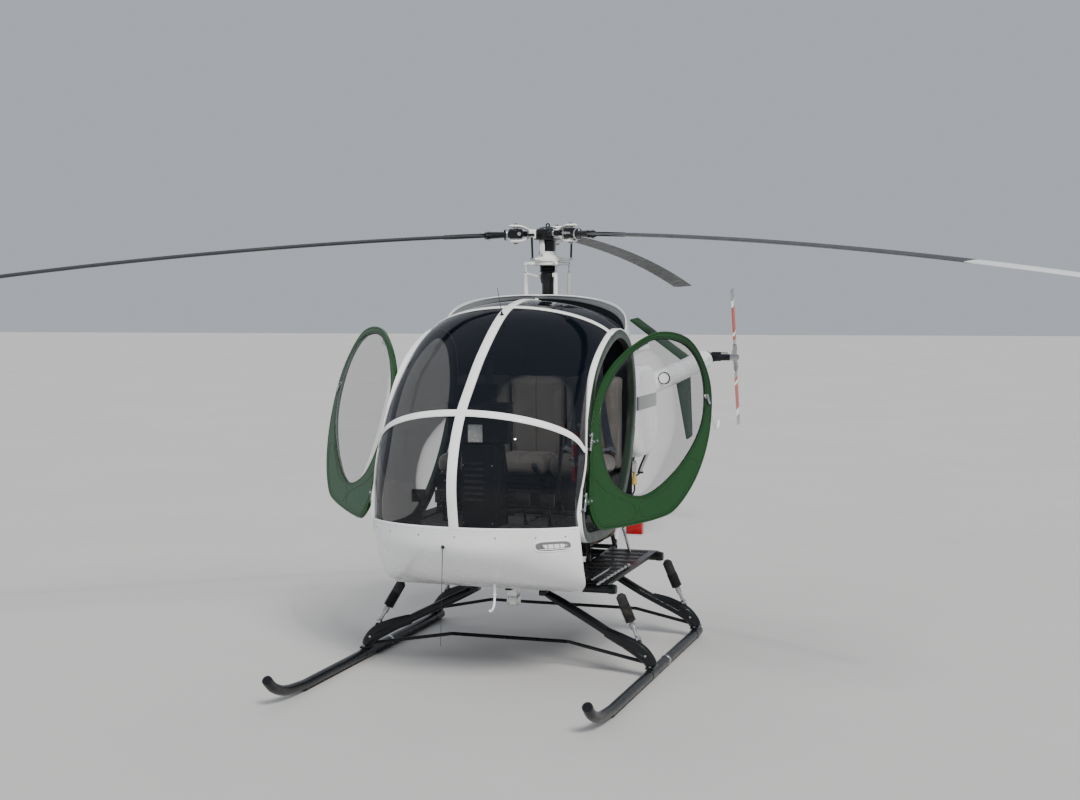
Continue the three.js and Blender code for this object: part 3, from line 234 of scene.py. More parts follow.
def smooth(points, count=24, closed=False):
    """Points at even parameters of a curve through the given ones."""
    points = np.asarray(points, float)
    last = len(points) if closed else len(points) - 1
    found = []
    for t in np.linspace(0, last, count, endpoint=not closed):
        i = min(int(t), last - 1)
        f = t - i
        pick = (lambda k: points[k % len(points)]) if closed else (lambda k: points[min(max(k, 0), last)])
        a, b, c, d = (pick(i + k) for k in (-1, 0, 1, 2))
        found.append(0.5 * (2 * b + (c - a) * f + (2 * a - 5 * b + 4 * c - d) * f**2 + (3 * b - a - 3 * c + d) * f**3))
    return np.array(found)


def across(axis, up=UP):
    """Two unit directions square to an axis; the second is as near as may be to up."""
    axis = unit(axis)
    if abs(np.dot(axis, unit(up))) > 0.98:
        up = AFT
    side = unit(np.cross(up, axis))
    return side, np.cross(axis, side)


def centripetal(rows, t):
    """The curve that the part's source draws through its rows."""
    rows = np.asarray(rows, float)
    place = (len(rows) - 1) * t
    i = min(int(place), len(rows) - 2)
    w = place - i
    p1, p2 = rows[i], rows[i + 1]
    p0 = rows[i - 1] if i > 0 else 2 * p1 - p2
    p3 = rows[i + 2] if i + 2 < len(rows) else 2 * p2 - p1
    d0, d1, d2 = (np.dot(b - a, b - a) ** 0.25 for a, b in ((p0, p1), (p1, p2), (p2, p3)))
    d1 = d1 if d1 > 1e-4 else 1.0
    d0, d2 = (d if d > 1e-4 else d1 for d in (d0, d2))
    t1 = ((p1 - p0) / d0 - (p2 - p0) / (d0 + d1) + (p2 - p1) / d1) * d1
    t2 = ((p2 - p1) / d1 - (p3 - p1) / (d1 + d2) + (p3 - p2) / d2) * d1
    return p1 + t1 * w + (-3 * p1 + 3 * p2 - 2 * t1 - t2) * w * w + (2 * p1 - 2 * p2 + t1 + t2) * w**3


# Cabin surface rows, from one door post over the centre line to the other.
# Columns: centre y, centre z, post x, post y, post z, degrees of arc that the row spans to a side.
SCREEN_ROWS = (
    (-1700, 975, 640, -1372, 960, 62),
    (-1728, 1230, 645, -1352, 1180, 64),
    (-1674, 1450, 642, -1318, 1330, 65),
    (-1569, 1626, 635, -1262, 1465, 66),
    (-1439, 1758, 626, -1172, 1630, 67),
    (-1216, 1953, 618, -1012, 1800, 70),
    (-840, 2180, 608, -770, 1968, 74),
    (-490, 2250, 592, -490, 2064, 78),
    (-190, 2240, 592, -290, 2075, 80),
)
NOSE_ROWS = (
    (-1175, 556, 585, -1165, 556, 70),
    (-1400, 630, 628, -1225, 612, 66),
    (-1565, 735, 640, -1295, 720, 62),
    (-1664, 850, 643, -1345, 845, 62),
    (-1700, 974.5, 640, -1372, 959.5, 62),
)
ROOF_ROWS = ((-215, 2243, 598, -310, 2046, 80), (-150, 2240, 600, -210, 1990, 80), (-112, 2214, 600, -118, 1870, 80))


TABLES = {}


def table_of(rows):
    """A cabin surface's rows at fine steps of v."""
    if rows not in TABLES:
        points = np.array(rows, float)
        marks = np.linspace(0, len(rows) - 1, 1601)
        groups = (points[:, :2], points[:, 2:5], points[:, 5:6])
        TABLES[rows] = marks, np.array([np.concatenate([centripetal(g,
            m / marks[-1]) for g in groups]) for m in marks])
    return TABLES[rows]


def surface(rows, us, vs):
    """Points of a cabin surface. us and vs are lists, or grids with a row for each v."""
    marks, table = table_of(rows)
    vs = np.asarray(vs, float)
    us, vs = np.broadcast_arrays(np.atleast_2d(us), vs[:, None] if vs.ndim == 1 else vs)
    inside = np.clip(vs, 0, marks[-1])
    centre_y, centre_z, post_x, post_y, post_z, span = (np.interp(inside, marks, table[:, k]) for k in range(6))
    span = np.radians(span)
    drop = (1 - np.cos(us * span)) / (1 - np.cos(span))
    x = post_x * np.sin(us * span) / np.sin(span)
    y = centre_y + (post_y - centre_y) * drop
    z = centre_z + (post_z - centre_z) * drop + (vs - inside)
    return np.stack([x, y, z], -1)


def lifted(rows, us, vs, offset):
    """Cabin surface points that are moved out along the surface's normal."""
    us, vs = np.asarray(us, float), np.asarray(vs, float)
    step = 1e-3
    du = surface(rows, us + step, vs) - surface(rows, us - step, vs)
    dv = surface(rows, us, vs + step) - surface(rows, us, vs - step)
    normal = np.cross(du, dv)
    normal /= np.linalg.norm(normal, axis=2, keepdims=True)
    return surface(rows, us, vs) + normal * np.asarray(offset, float)[..., None]


class Shape:
    """Points in millimetres, faces, and a finish number for each face."""

    def __init__(self):
        self.blocks, self.faces, self.finish, self.count = [], [], [], 0

    def add(self, points, faces, finish=0, turn=None):
        points = np.asarray(points, float).reshape(-1, 3)
        if turn is not None:
            turn = np.array(turn, float)
            points = points @ turn[:3, :3].T + turn[:3, 3]
        self.blocks.append(points)
        self.faces += [tuple(self.count + i for i in face) for face in faces]
        self.finish += [finish] * len(faces)
        self.count += len(points)
        return self

    def take(self, other, turn=None):
        """Another shape's faces, turned."""
        start = len(self.faces)
        self.add(np.concatenate(other.blocks), other.faces, 0, turn)
        self.finish[start:] = other.finish
        return self

    def sweep(self, path, radius, sides=16, finish=0, flat=1.0, up=UP, closed=False):
        """A round or oval tube along a path, with one radius or one for each point."""
        path = np.asarray(path, float)
        radii = np.broadcast_to(np.asarray(radius, float), (len(path),))
        along = np.roll(path, -1, 0) - np.roll(path, 1, 0) if closed else np.gradient(path, axis=0)
        side, top = across(along[0], up)
        angles = np.linspace(0, 2 * pi, sides, endpoint=False)
        rings = []
        for point, direction, r in zip(path, along, radii):
            direction = unit(direction)
            side = unit(side - direction * np.dot(side, direction))
            top = np.cross(direction, side)
            rings.append(point + r * (np.cos(angles)[:, None] * side + flat * np.sin(angles)[:, None] * top))
        return self.ring(rings + rings[:1] if closed else rings, finish, not closed)

    def pipe(self, points, count, radius, sides=16, finish=0, **more):
        """A tube along the smooth curve through a few points."""
        return self.sweep(smooth(points, count), radius, sides, finish, **more)

    def rod(self, start, end, radius, end_radius=None, sides=20, finish=0, soft=1.5):
        """A straight bar with slightly rounded ends."""
        start, end = np.asarray(start, float), np.asarray(end, float)
        length = np.linalg.norm(end - start)
        end_radius = radius if end_radius is None else end_radius
        soft = min(soft, 0.3 * length, 0.5 * radius, 0.5 * end_radius)
        stops = [0, soft * 0.35, soft, length - soft, length - soft * 0.35, length]
        cut = [soft, soft * 0.3, 0, 0, soft * 0.3, soft]
        radii = [radius + (end_radius - radius) * s / length - c for s, c in zip(stops, cut)]
        return self.lathe([(0, 0), *zip(radii, stops), (0, length)], start, end - start, sides, finish)

    def lathe(self, profile, at=(0, 0, 0), axis=UP, sides=40, finish=0):
        """A turned piece. Profile columns: radius, distance along the axis."""
        side, top = across(axis)
        axis, at = unit(axis), np.asarray(at, float)
        angles = np.linspace(0, 2 * pi, sides, endpoint=False)
        ring = np.cos(angles)[:, None] * side + np.sin(angles)[:, None] * top
        points = np.concatenate([at + axis * d + ring * r for r, d in profile])
        return self.add(points, lattice(len(profile), sides, True), finish)

    def block(self, low, high, soft=3.0, finish=0, steps=2, turn=None):
        """A box with rounded edges."""
        low, high = np.minimum(low, high).astype(float), np.maximum(low, high).astype(float)
        work = bmesh.new()
        bmesh.ops.create_cube(work, size=1.0)
        for v in work.verts:
            v.co = Vector((low + high) / 2 + np.array(v.co) * (high - low))
        soft = min(soft, 0.45 * float(min(high - low)))
        bmesh.ops.bevel(work, geom=work.edges[:], offset=soft, segments=steps, profile=0.5, affect="EDGES")
        return self.take_mesh(work, finish, turn)

    def slab(self, outline, thick, soft=1.5, finish=0):
        """A flat plate from an outline of points, thickened along a vector."""
        work = bmesh.new()
        face = work.faces.new([work.verts.new(Vector(p)) for p in outline])
        grown = bmesh.ops.extrude_face_region(work, geom=[face])["geom"]
        moved = [g for g in grown if isinstance(g, bmesh.types.BMVert)]
        bmesh.ops.translate(work, verts=moved, vec=Vector(thick))
        bmesh.ops.recalc_face_normals(work, faces=work.faces[:])
        rims = [e for e in work.edges if len(e.link_faces) == 2 and e.calc_face_angle() > 1.0]
        bmesh.ops.bevel(work, geom=rims, offset=soft, segments=2, profile=0.5, affect="EDGES")
        return self.take_mesh(work, finish)

    def take_mesh(self, work, finish=0, turn=None):
        work.verts.ensure_lookup_table()
        points = [tuple(v.co) for v in work.verts]
        faces = [tuple(v.index for v in f.verts) for f in work.faces]
        work.free()
        return self.add(points, faces, finish, turn)

    def sheet(self, rows, us, vs, inner, outer, finish=0, edge=0.0):
        """A closed sheet over a cabin surface, between two offsets, with a thinner outer edge."""
        us, vs = np.asarray(us, float), np.asarray(vs, float)
        n, m = len(vs), us.shape[-1]
        top = np.full((n, m), float(outer))
        top[[0, -1], :] -= edge
        top[1:-1, [0, -1]] -= edge
        layers = np.concatenate([lifted(rows, us, vs, g).reshape(-1, 3) for g in (np.full((n, m), float(inner)),
            top)])
        size = n * m
        faces = [(d, c, b, a) for a, b, c, d in lattice(n, m)]
        faces += [tuple(size + i for i in face) for face in lattice(n, m)]
        rim = list(range(m)) + [i * m + m - 1 for i in range(1, n)]
        rim += [(n - 1) * m + j for j in range(m - 2, -1, -1)] + [i * m for i in range(n - 2, 0, -1)]
        faces += [(a, b, b + size, a + size) for a, b in zip(rim, rim[1:] + rim[:1])]
        return self.add(layers, faces, finish)

    def ring(self, loops, finish=0, ends=False):
        """A skin over closed loops of points that all have the same count."""
        count = len(loops[0])
        faces = lattice(len(loops), count, True)
        if ends:
            last = (len(loops) - 1) * count
            faces += [tuple(range(count))[::-1], tuple(range(last, last + count))]
        return self.add(np.concatenate(loops), faces, finish)

    def bolt(self, at, axis, size=7.0, finish=0):
        """A hexagon head on a washer."""
        self.lathe([(0, 0), (size * 1.5, 0), (size * 1.5, 1.2), (0, 1.2)], at, axis, 16, finish)
        tall = size * 0.75
        profile = [(size, 1.2), (size, tall), (size * 0.85, tall + 1), (0, tall + 1.2)]
        return self.lathe(profile, at, axis, 6, finish)

    def rivet(self, at, axis, size=3.0, finish=0):
        profile = [(size, 0), (size * 0.85, size * 0.3), (size * 0.4, size * 0.5), (0, size * 0.55)]
        return self.lathe(profile, at, axis, 8, finish)


def mesh_object(name, mesh):
    thing = bpy.data.objects.new(name, mesh)
    bpy.context.scene.collection.objects.link(thing)
    return thing


def in_frame(points):
    """Metres in the frame from a shape's millimetres."""
    points = points * 0.001
    points[:, 1] += SHIFT
    return points


def make(name, shape, finishes, replaced=None, body="airframe"):
    """A piece of the object from a shape."""
    mesh = bpy.data.meshes.new(name)
    mesh.from_pydata(in_frame(np.concatenate(shape.blocks)).tolist(), [], shape.faces)
    for material in finishes if isinstance(finishes, list) else [finishes]:
        mesh.materials.append(material)
    mesh.polygons.foreach_set("material_index", shape.finish)
    work = bmesh.new()
    work.from_mesh(mesh)
    bmesh.ops.remove_doubles(work, verts=work.verts[:], dist=2e-6)
    bmesh.ops.dissolve_degenerate(work, edges=work.edges[:], dist=1e-6)
    bmesh.ops.recalc_face_normals(work, faces=work.faces[:])
    work.to_mesh(mesh)
    work.free()
    mesh.shade_smooth()
    mesh.set_sharp_from_angle(angle=radians(36))
    piece = mesh_object(name, mesh)
    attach(piece, body)
    if replaced:
        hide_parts(replaced)


def spin(angle, axis="Z"):
    """A turn by degrees about an axis through the origin."""
    return Matrix.Rotation(radians(angle), 4, axis)


def circle(count):
    """Cosines and sines at even steps round a circle."""
    return [(cos(2 * pi * k / count), sin(2 * pi * k / count)) for k in range(count)]


def spool(half, end, middle, flat):
    """The profile of a short drum with softened ends, for lathe()."""
    return [(0, -half), (end, -half), (middle, -flat), (middle, flat), (end, half), (0, half)]


MIRROR = Matrix.Scale(-1, 4, LEFT)


# Cabin shell

STRAP_HALF = 23.0


def edged(low, high, soft, count):
    """Values from low to high with one more close to each end, so that an edge can be rounded."""
    return np.concatenate([[low], np.linspace(low + soft, high - soft, count), [high]])


def spaced(points, count):
    """Evenly spaced points along the closed curve through the given ones."""
    line = []
    for k in range(len(points)):
        four = np.array([points[(k + j) % len(points)] for j in (-1, 0, 1, 2)])
        line += [centripetal(four, (1 + f) / 3) for f in np.linspace(0, 1, 30, endpoint=False)]
    line = np.array(line + line[:1])
    walked = np.concatenate([[0], np.cumsum(np.linalg.norm(np.diff(line, axis=0), axis=1))])
    marks = np.linspace(0, walked[-1], count, endpoint=False)
    return np.stack([np.interp(marks, walked, line[:, k]) for k in range(line.shape[1])], 1)


def grown(loop, distance):
    """A loop moved outwards by a distance, or inwards by a negative one."""
    area = np.sum(loop[:, 0] * np.roll(loop[:, 1], -1) - np.roll(loop[:, 0], -1) * loop[:, 1])
    along = np.roll(loop, -1, 0) - np.roll(loop, 1, 0)
    along /= np.linalg.norm(along, axis=1, keepdims=True)
    return loop + distance * copysign(1, area) * np.stack([along[:, 1], -along[:, 0]], 1)


# Outlines of a door and of its window. Columns: y, z.
DOOR = ((-1318, 1040), (-1285, 945), (-1200, 927), (-860, 917), (-740, 938), (-500, 1105), (-293, 1376))
DOOR += ((-190, 1680), (-250, 1925), (-450, 2008), (-700, 1950), (-960, 1795), (-1120, 1586), (-1232, 1306))
WINDOW = ((-1124, 1326), (-1019, 1649), (-757, 1884), (-500, 1968), (-290, 1895), (-231, 1730), (-335, 1425))
WINDOW += ((-637, 1170), (-952, 1068), (-1095, 1160))
DOOR_LOOP, WINDOW_LOOP = (spaced(np.array(loop, float), 176) for loop in (DOOR, WINDOW))


def on_side(loop, side, depth):
    """Points of the cabin's side, which leans inwards with height, at a depth outboard of it."""
    loop = np.asarray(loop, float)
    x = HINGE[0] - HINGE_LEAN_IN * (loop[:, 1] - HINGE[2]) + depth
    return np.stack([side * x, loop[:, 0], loop[:, 1]], 1)


def hinge_axis(side):
    return unit((-side * HINGE_LEAN_IN, HINGE_LEAN_AFT, 1))


def hinge_foot(side):
    return np.array([side * (HINGE[0] + KNUCKLE + 0.5), HINGE[1], HINGE[2]])


def hinge_at(side, height, along):
    axis = hinge_axis(side)
    return hinge_foot(side) + axis * ((height - HINGE[2]) / axis[2] + along)


def hinge_leaf(shape, side, height, low, high, aft, finish, paint):
    """A knuckle, the leaf that carries it and its bolts."""
    shape.rod(hinge_at(side, height, low), hinge_at(side, height, high), KNUCKLE, finish=finish)
    reach = 62.0 if aft > 0 else 37.0
    foot, head = low + 7, high - 7
    outline = []
    for step, along in ((0, foot), (reach - 6, foot), (reach, foot + 4), (reach, head - 4), (reach - 6, head),
        (0, head)):
        at = hinge_at(side, height, along)
        outline.append((at[1] + aft * step, at[2]))
    shape.slab(on_side(outline, side, 0.5), (side * 5.5, 0, 0), 1.0, paint)
    at = hinge_at(side, height, (low + high) / 2)
    for step in (24, 48) if aft > 0 else (24,):
        shape.bolt(on_side([[at[1] + aft * step, at[2]]], side, 6.0)[0], (side, 0, 0), 4.5, finish)


def meets_door(vs, reach):
    """The u at which the windscreen comes to a distance outside the door's outline, for each v."""
    us = np.linspace(0.93, 1.1, 50)
    found = []
    for row in surface(SCREEN_ROWS, us, vs):
        gaps = np.linalg.norm(row[:, None, 1:] - DOOR_LOOP[None], axis=2).min(1)
        found.append(np.interp(reach, np.minimum.accumulate(gaps)[::-1], us[::-1]))
    return np.array(found)


def rounded_ring(shape, side, inner, outer, low, high, soft, finish):
    """A rim round a door opening with rounded edges, between two growths of the door's outline."""
    profile = ((outer, low), (outer, high - soft), (outer - soft * 0.3, high - soft * 0.3), (outer - soft, high))
    profile += ((inner + soft, high), (inner + soft * 0.3, high - soft * 0.3), (inner, high - soft), (inner, low))
    loops = [on_side(grown(DOOR_LOOP, g), side, d) for g, d in profile]
    shape.ring(loops + loops[:1], finish)


# The door's gap, the post's and its white edge's widths, and how far outside the door the straps and panes end.
DOOR_GAP = 7.0
POST_WIDTH = 60.0
TRIM_WIDTH = 9.0
STRAP_REACH = 62.0
PANE_REACH = 60.0
# Millimetres of the windscreen for one step of u and of v, near its middle, and a door strip's width in u.
U_LENGTH = 640
V_LENGTH = 200
STRIP_WIDTH = 0.015


def opening_rim(shape, side):
    """The rim of a door opening in darker green, which is painted shade, with its white outer edge that widens over
    its top and rear.
    """
    outer = DOOR_GAP + POST_WIDTH
    rounded_ring(shape, side, DOOR_GAP, outer, -38.0, 0.0, 5.0, 2)
    start = len(shape.faces)
    rounded_ring(shape, side, outer - TRIM_WIDTH, outer + 0.6, -38.3, 0.6, 3.0, 0)
    high = (DOOR_LOOP[:, 1] > 1450) & (DOOR_LOOP[:, 0] > -620)
    for k in range(len(shape.faces) - start):
        if not high[k % len(DOOR_LOOP)] and k // len(DOOR_LOOP) > 1:
            shape.finish[start + k] = 2


def bow(us):
    """The v at which the cross bow runs, which drops towards the centre line."""
    return 6.28 + 0.42 * np.minimum(np.abs(us), 1.0) ** 2


def waist(us):
    """The v at which the cross strap runs, which drops at the doors."""
    wide = np.minimum(np.abs(us), 1.0)
    return 3.0 - 0.14 * wide**4 - 0.29 * wide**16


cabin, seals = Shape(), Shape()
screen_up = np.linspace(0.0, 8.0, 90)
half = STRAP_HALF / U_LENGTH
band = STRAP_HALF / V_LENGTH
across_us = np.linspace(-1.0, 1.0, 97)
cabin.sheet(SCREEN_ROWS, edged(-half, half, half * 0.2, 3), np.linspace(0.03, 7.9, 90), -1.5, 7.0, 0, 3.0)
sill = edged(0.0, 0.07, 0.01, 3)
cabin.sheet(SCREEN_ROWS, meets_door(sill, STRAP_REACH)[:, None] * across_us, sill, 0, 3.0, 0, 2.5)
for run, reach, soft in ((waist, band, band * 0.2), (bow, 0.062, 0.013)):
    rise = edged(-reach, reach, soft, 3)
    strap_us = meets_door(run(1.0) + rise, STRAP_REACH)[:, None] * across_us
    cabin.sheet(SCREEN_ROWS, strap_us, run(strap_us) + rise[:, None], 0, 6.0, 0, 2.5)
for side in (1, -1):
    strip = meets_door(screen_up, STRAP_REACH)[:, None] + edged(-STRIP_WIDTH, 0.0, 0.008, 3)
    cabin.sheet(SCREEN_ROWS, strip if side > 0 else -strip[:, ::-1], screen_up, -1.0, 5.0, 0, 2.5)
    opening_rim(cabin, side)
    rounded_ring(seals, side, 1.5, 7.6, -30.0, -22.8, 2.0, 0)
    rounded_ring(seals, side, 3.0, 40.0, -40.0, -37.0, 1.0, 0)
    # The cabin's hinge leaves take the darker green of painted shade.
    for height in HINGE_HEIGHTS:
        hinge_leaf(cabin, side, height, -2 * KNUCKLE_HALF, -KNUCKLE_HALF - 0.5, -1, 1, 2)
        hinge_leaf(cabin, side, height, KNUCKLE_HALF + 0.5, 2 * KNUCKLE_HALF, -1, 1, 2)
make("cabin_straps_and_posts", cabin, [WHITE, STEEL, JAMB_GREEN_PAINTED_SHADE], "cabin_frame")
make("door_opening_seals", seals, [RUBBER])


def pane_edges(name, us):
    """The lowest and highest v of a pane at each u."""
    if name == "lower":
        return 0.02, waist(us) - 0.01
    return (waist(us) + 0.01, bow(us) - 0.004) if name == "upper" else (bow(us) + 0.004, 7.86)


seam = (STRAP_HALF + 0.5) / U_LENGTH
for name, up in (("lower", 45), ("upper", 61), ("roof", 20)):
    share = np.linspace(0, 1, up)
    low, high = pane_edges(name, 1.0)
    out = seam + (meets_door(low + (high - low) * share, PANE_REACH)[:, None] - seam) * np.linspace(0, 1, 57)
    for word, us in (("left", out), ("right", -out[:, ::-1])):
        low, high = pane_edges(name, us)
        pane = Shape().sheet(SCREEN_ROWS, us, low + (high - low) * share[:, None], -6.5, -2.5)
        make(f"{name}_screen_{word}", pane, [SMOKE], f"{name}_window_{word}")

# Nose shell with its screws, its air vent and the two small aerials

nose = Shape()
nose.sheet(NOSE_ROWS, edged(-0.995, 0.995, 0.01, 89), edged(0, 4, 0.02, 45), -6, 2, 0, 2.0)
for u in (-0.9, -0.62, -0.3, 0.0, 0.3, 0.6, 0.85):
    head, foot = (lifted(NOSE_ROWS, [u], [3.7], offset)[0, 0] for offset in (2.0, 0.0))
    nose.rivet(head, head - foot, 5.5, 1)


def vent_loop(grow, offset):
    """A long round-ended loop on the nose, for the air vent."""
    middle_u, middle_v, half_u, half_v = 0.741, 3.255, 0.152, 0.23
    found = []
    for c, s in circle(48):
        u = middle_u + (half_u + grow / 560) * copysign(abs(c) ** 0.45, c)
        v = middle_v + (half_v + grow / 125) * copysign(abs(s) ** 0.75, s)
        found.append(lifted(NOSE_ROWS, [u], [v], offset)[0, 0])
    return np.array(found)


nose.ring([vent_loop(g, o) for g, o in ((9, 1.5), (8, 3.5), (4, 5), (1, 4.5), (-2, 2.2))])
# The vent's inner face and its louvres take the grey painted shade.
nose.ring([vent_loop(g, o) for g, o in ((-1, 2.6), (-12, 2.5), (-16, 2.4))], 2, ends=True)
for u in (0.64, 0.69, 0.74, 0.79, 0.84):
    rib = lifted(NOSE_ROWS, [u, u + 0.006], [3.12, 3.17, 3.3, 3.36], 3.2)
    nose.sweep(rib[:, 0, :], 2.2, 8, 2)
lip = lifted(NOSE_ROWS, np.linspace(0.62, 0.865, 16), [3.11], 4.0)[0]
nose.sweep(lip, 4.0, 10, 0, 0.6)
make("nose_skin", nose, [WHITE, STEEL, GREY_PAINTED_SHADE], "nose_shell")

WHIP = ((-78, -1671, 873), (-78, -1677, 862), (-80, -1679, 800), (-86, -1678, 640), (-93, -1675, 470),
    (-100, -1671, 303))
PITOT = ((135, -1412, 625), (136, -1416, 560), (140, -1440, 505), (146, -1492, 486), (150, -1530, 492))
tube = Shape().sweep(smooth(PITOT, 40), 7.0)
tube.lathe([(7, 0), (13, 1), (13, 5), (7, 8)], PITOT[1], (0, 0.05, 1), 24)
make("pitot_pipe", tube, [WHITE], "pitot_tube")
aerials = Shape()
aerials.sweep(smooth(WHIP, 40), np.linspace(2.6, 1.2, 40), 8, 1)
aerials.lathe([(0, 0), (11, 0), (11, 4), (6, 9), (4, 20), (0, 21)], WHIP[0], (0, -1, -0.15), 20, 1)
aerials.pipe([(0, -884, 2175), (-4, -900, 2225), (-12, -930, 2330)], 20, np.linspace(2.8, 1.3, 20), 8, 1)
aerials.lathe([(0, 0), (14, 0), (14, 5), (7, 11), (5, 24), (0, 25)], (0, -884, 2164), (0, -0.35, 1), 20, 1)
make("whip_aerials", aerials, [WHITE, BLACK])

# Roof cap: a white eyebrow whose raised front edge carries painted shade, a grey face over a black lower band

BROW = ((0, 38), (0.2, 45), (0.4, 60), (0.6, 81), (0.7, 87), (0.8, 76), (0.9, 40), (1, 11), (1.03, 7))


def brow(us):
    """How far the roof fairing's front edge stands off the roof, with its corners smoothed."""
    fine = np.linspace(-1.03, 1.03, 413)
    rise = np.interp(np.abs(fine), *zip(*BROW))
    spread = np.hanning(33)[1:-1]
    return np.interp(us, fine, np.convolve(np.pad(rise, 15, mode="edge"), spread / spread.sum(), "valid"))


roof = Shape()
us = edged(-1.03, 1.03, 0.012, 91)
# Stations from the front lip back over the top, under it and out again. Columns: v, share of the rise, finish.
# Finish 1 (grey) and finish 2 (black trim) on the lip below its white edge and under it are painted shade.
LIP = (
    (0.03, 0.99, 0), (0.0, 0.96, 0), (0.0, 0.90, 0), (0.03, 0.86, 1), (0.07, 0.66, 1), (0.10, 0.45, 1),
    (0.13, 0.40, 2), (0.16, 0.2, 2), (0.18, -0.05, 2),
)
stations = [(v, 1.0 - 0.2 * v, 0) for v in np.linspace(2, 0.08, 14)] + list(LIP) + [(2.0, -0.05, 2)]
lines = [lifted(ROOF_ROWS, us, [v], share * brow(us)[None, :])[0] for v, share, _ in stations]
roof.add(np.concatenate(lines + lines[:1]), lattice(len(lines) + 1, len(us)))
roof.finish = [finish for _, _, finish in stations for _ in us[1:]]
for end in (0, -1):
    roof.add(np.array([line[end] for line in lines]), [tuple(range(len(lines)))])
roof.sweep(lifted(ROOF_ROWS, us, [0.0], 0.97 * brow(us)[None, :])[0], 4.5, 10)
top = lifted(ROOF_ROWS, [0.0], [-0.02], 20.0)[0, 0]
roof.block(top + (-10, -10, -16), top + (10, 12, 18), 3)
make("roof_fairing", roof, [WHITE, GREY_PAINTED_SHADE, BLACK_TRIM], "roof_cap")

# Doors, built closed and then swung open about their hinge lines


def door_turn(side, opened):
    foot = Matrix.Translation(Vector(hinge_foot(side)))
    return foot @ Matrix.Rotation(-side * radians(opened), 4, Vector(hinge_axis(side))) @ foot.inverted()


def rays(loop, middle, angles):
    """How far a closed loop lies from a middle point in each direction."""
    from_middle = loop - middle
    bearing = np.unwrap(np.arctan2(from_middle[:, 1], from_middle[:, 0]))
    reach = np.linalg.norm(from_middle, axis=1)
    if bearing[-1] < bearing[0]:
        bearing, reach = bearing[::-1], reach[::-1]
    bearing = np.concatenate([bearing - 2 * pi, bearing, bearing + 2 * pi])
    return np.interp(angles, bearing, np.tile(reach, 3))


def polar(loop, middle, angles):
    reach = rays(loop, middle, angles)
    return middle + reach[:, None] * np.stack([np.cos(angles), np.sin(angles)], 1)


ANGLES = np.linspace(-pi, pi, 200, endpoint=False)
WINDOW_MIDDLE = WINDOW_LOOP.mean(0)
BUBBLE_RINGS = 14
BUBBLE_RISE = 67.5


def door_skin(shape, side):
    """The door's ring: rounded rims, a raised bead by each and a flat field between them."""
    ring = lambda loop, grow: polar(grown(loop, grow), WINDOW_MIDDLE, ANGLES)
    window = ((0, -DOOR_THICK), (0, -3), (1, -0.8), (3, 0), (8, 0), (9.5, -1.6), (12, -1.6), (13.5, 0))
    door = ((-15, 0), (-13.5, -1.6), (-11, -1.6), (-9.5, 0), (-3, 0), (-1, -0.8), (0, -3), (0, -DOOR_THICK))
    loops = [on_side(ring(WINDOW_LOOP, g), side, d) for g, d in window]
    inner, outer = ring(WINDOW_LOOP, 13.5), ring(DOOR_LOOP, -15)
    loops += [on_side(inner + (outer - inner) * t, side, 0.0) for t in (0.2, 0.4, 0.6, 0.8)]
    loops += [on_side(ring(DOOR_LOOP, g), side, d) for g, d in door]
    shape.ring(loops + loops[:1])
    return shape


# Outlines of the pressed panels low on the door. Columns: y, z.
PANELS = (
    (
        (-1236, 1236), (-1182, 1150), (-1068, 1068), (-1012, 1022), (-1022, 958), (-1119, 950), (-1270, 956),
        (-1320, 1026), (-1324, 1120), (-1275, 1215),
    ),
    (
        (-948, 1037), (-783, 1064), (-601, 1163), (-515, 1214), (-474, 1192), (-532, 1118), (-671, 1005),
        (-784, 941), (-883, 942), (-975, 954), (-978, 1012),
    ),
)


def panel_line(corners):
    """A smooth closed line that keeps clear of the door's two edges."""
    line = spaced(np.array(corners, float), 150) - WINDOW_MIDDLE
    angles = np.arctan2(line[:, 1], line[:, 0])
    edges = (grown(WINDOW_LOOP, 20), grown(DOOR_LOOP, -25))
    low, high = (rays(edge, WINDOW_MIDDLE, angles) for edge in edges)
    reach = np.clip(np.linalg.norm(line, axis=1), low, high)
    return WINDOW_MIDDLE + reach[:, None] * np.stack([np.cos(angles), np.sin(angles)], 1)


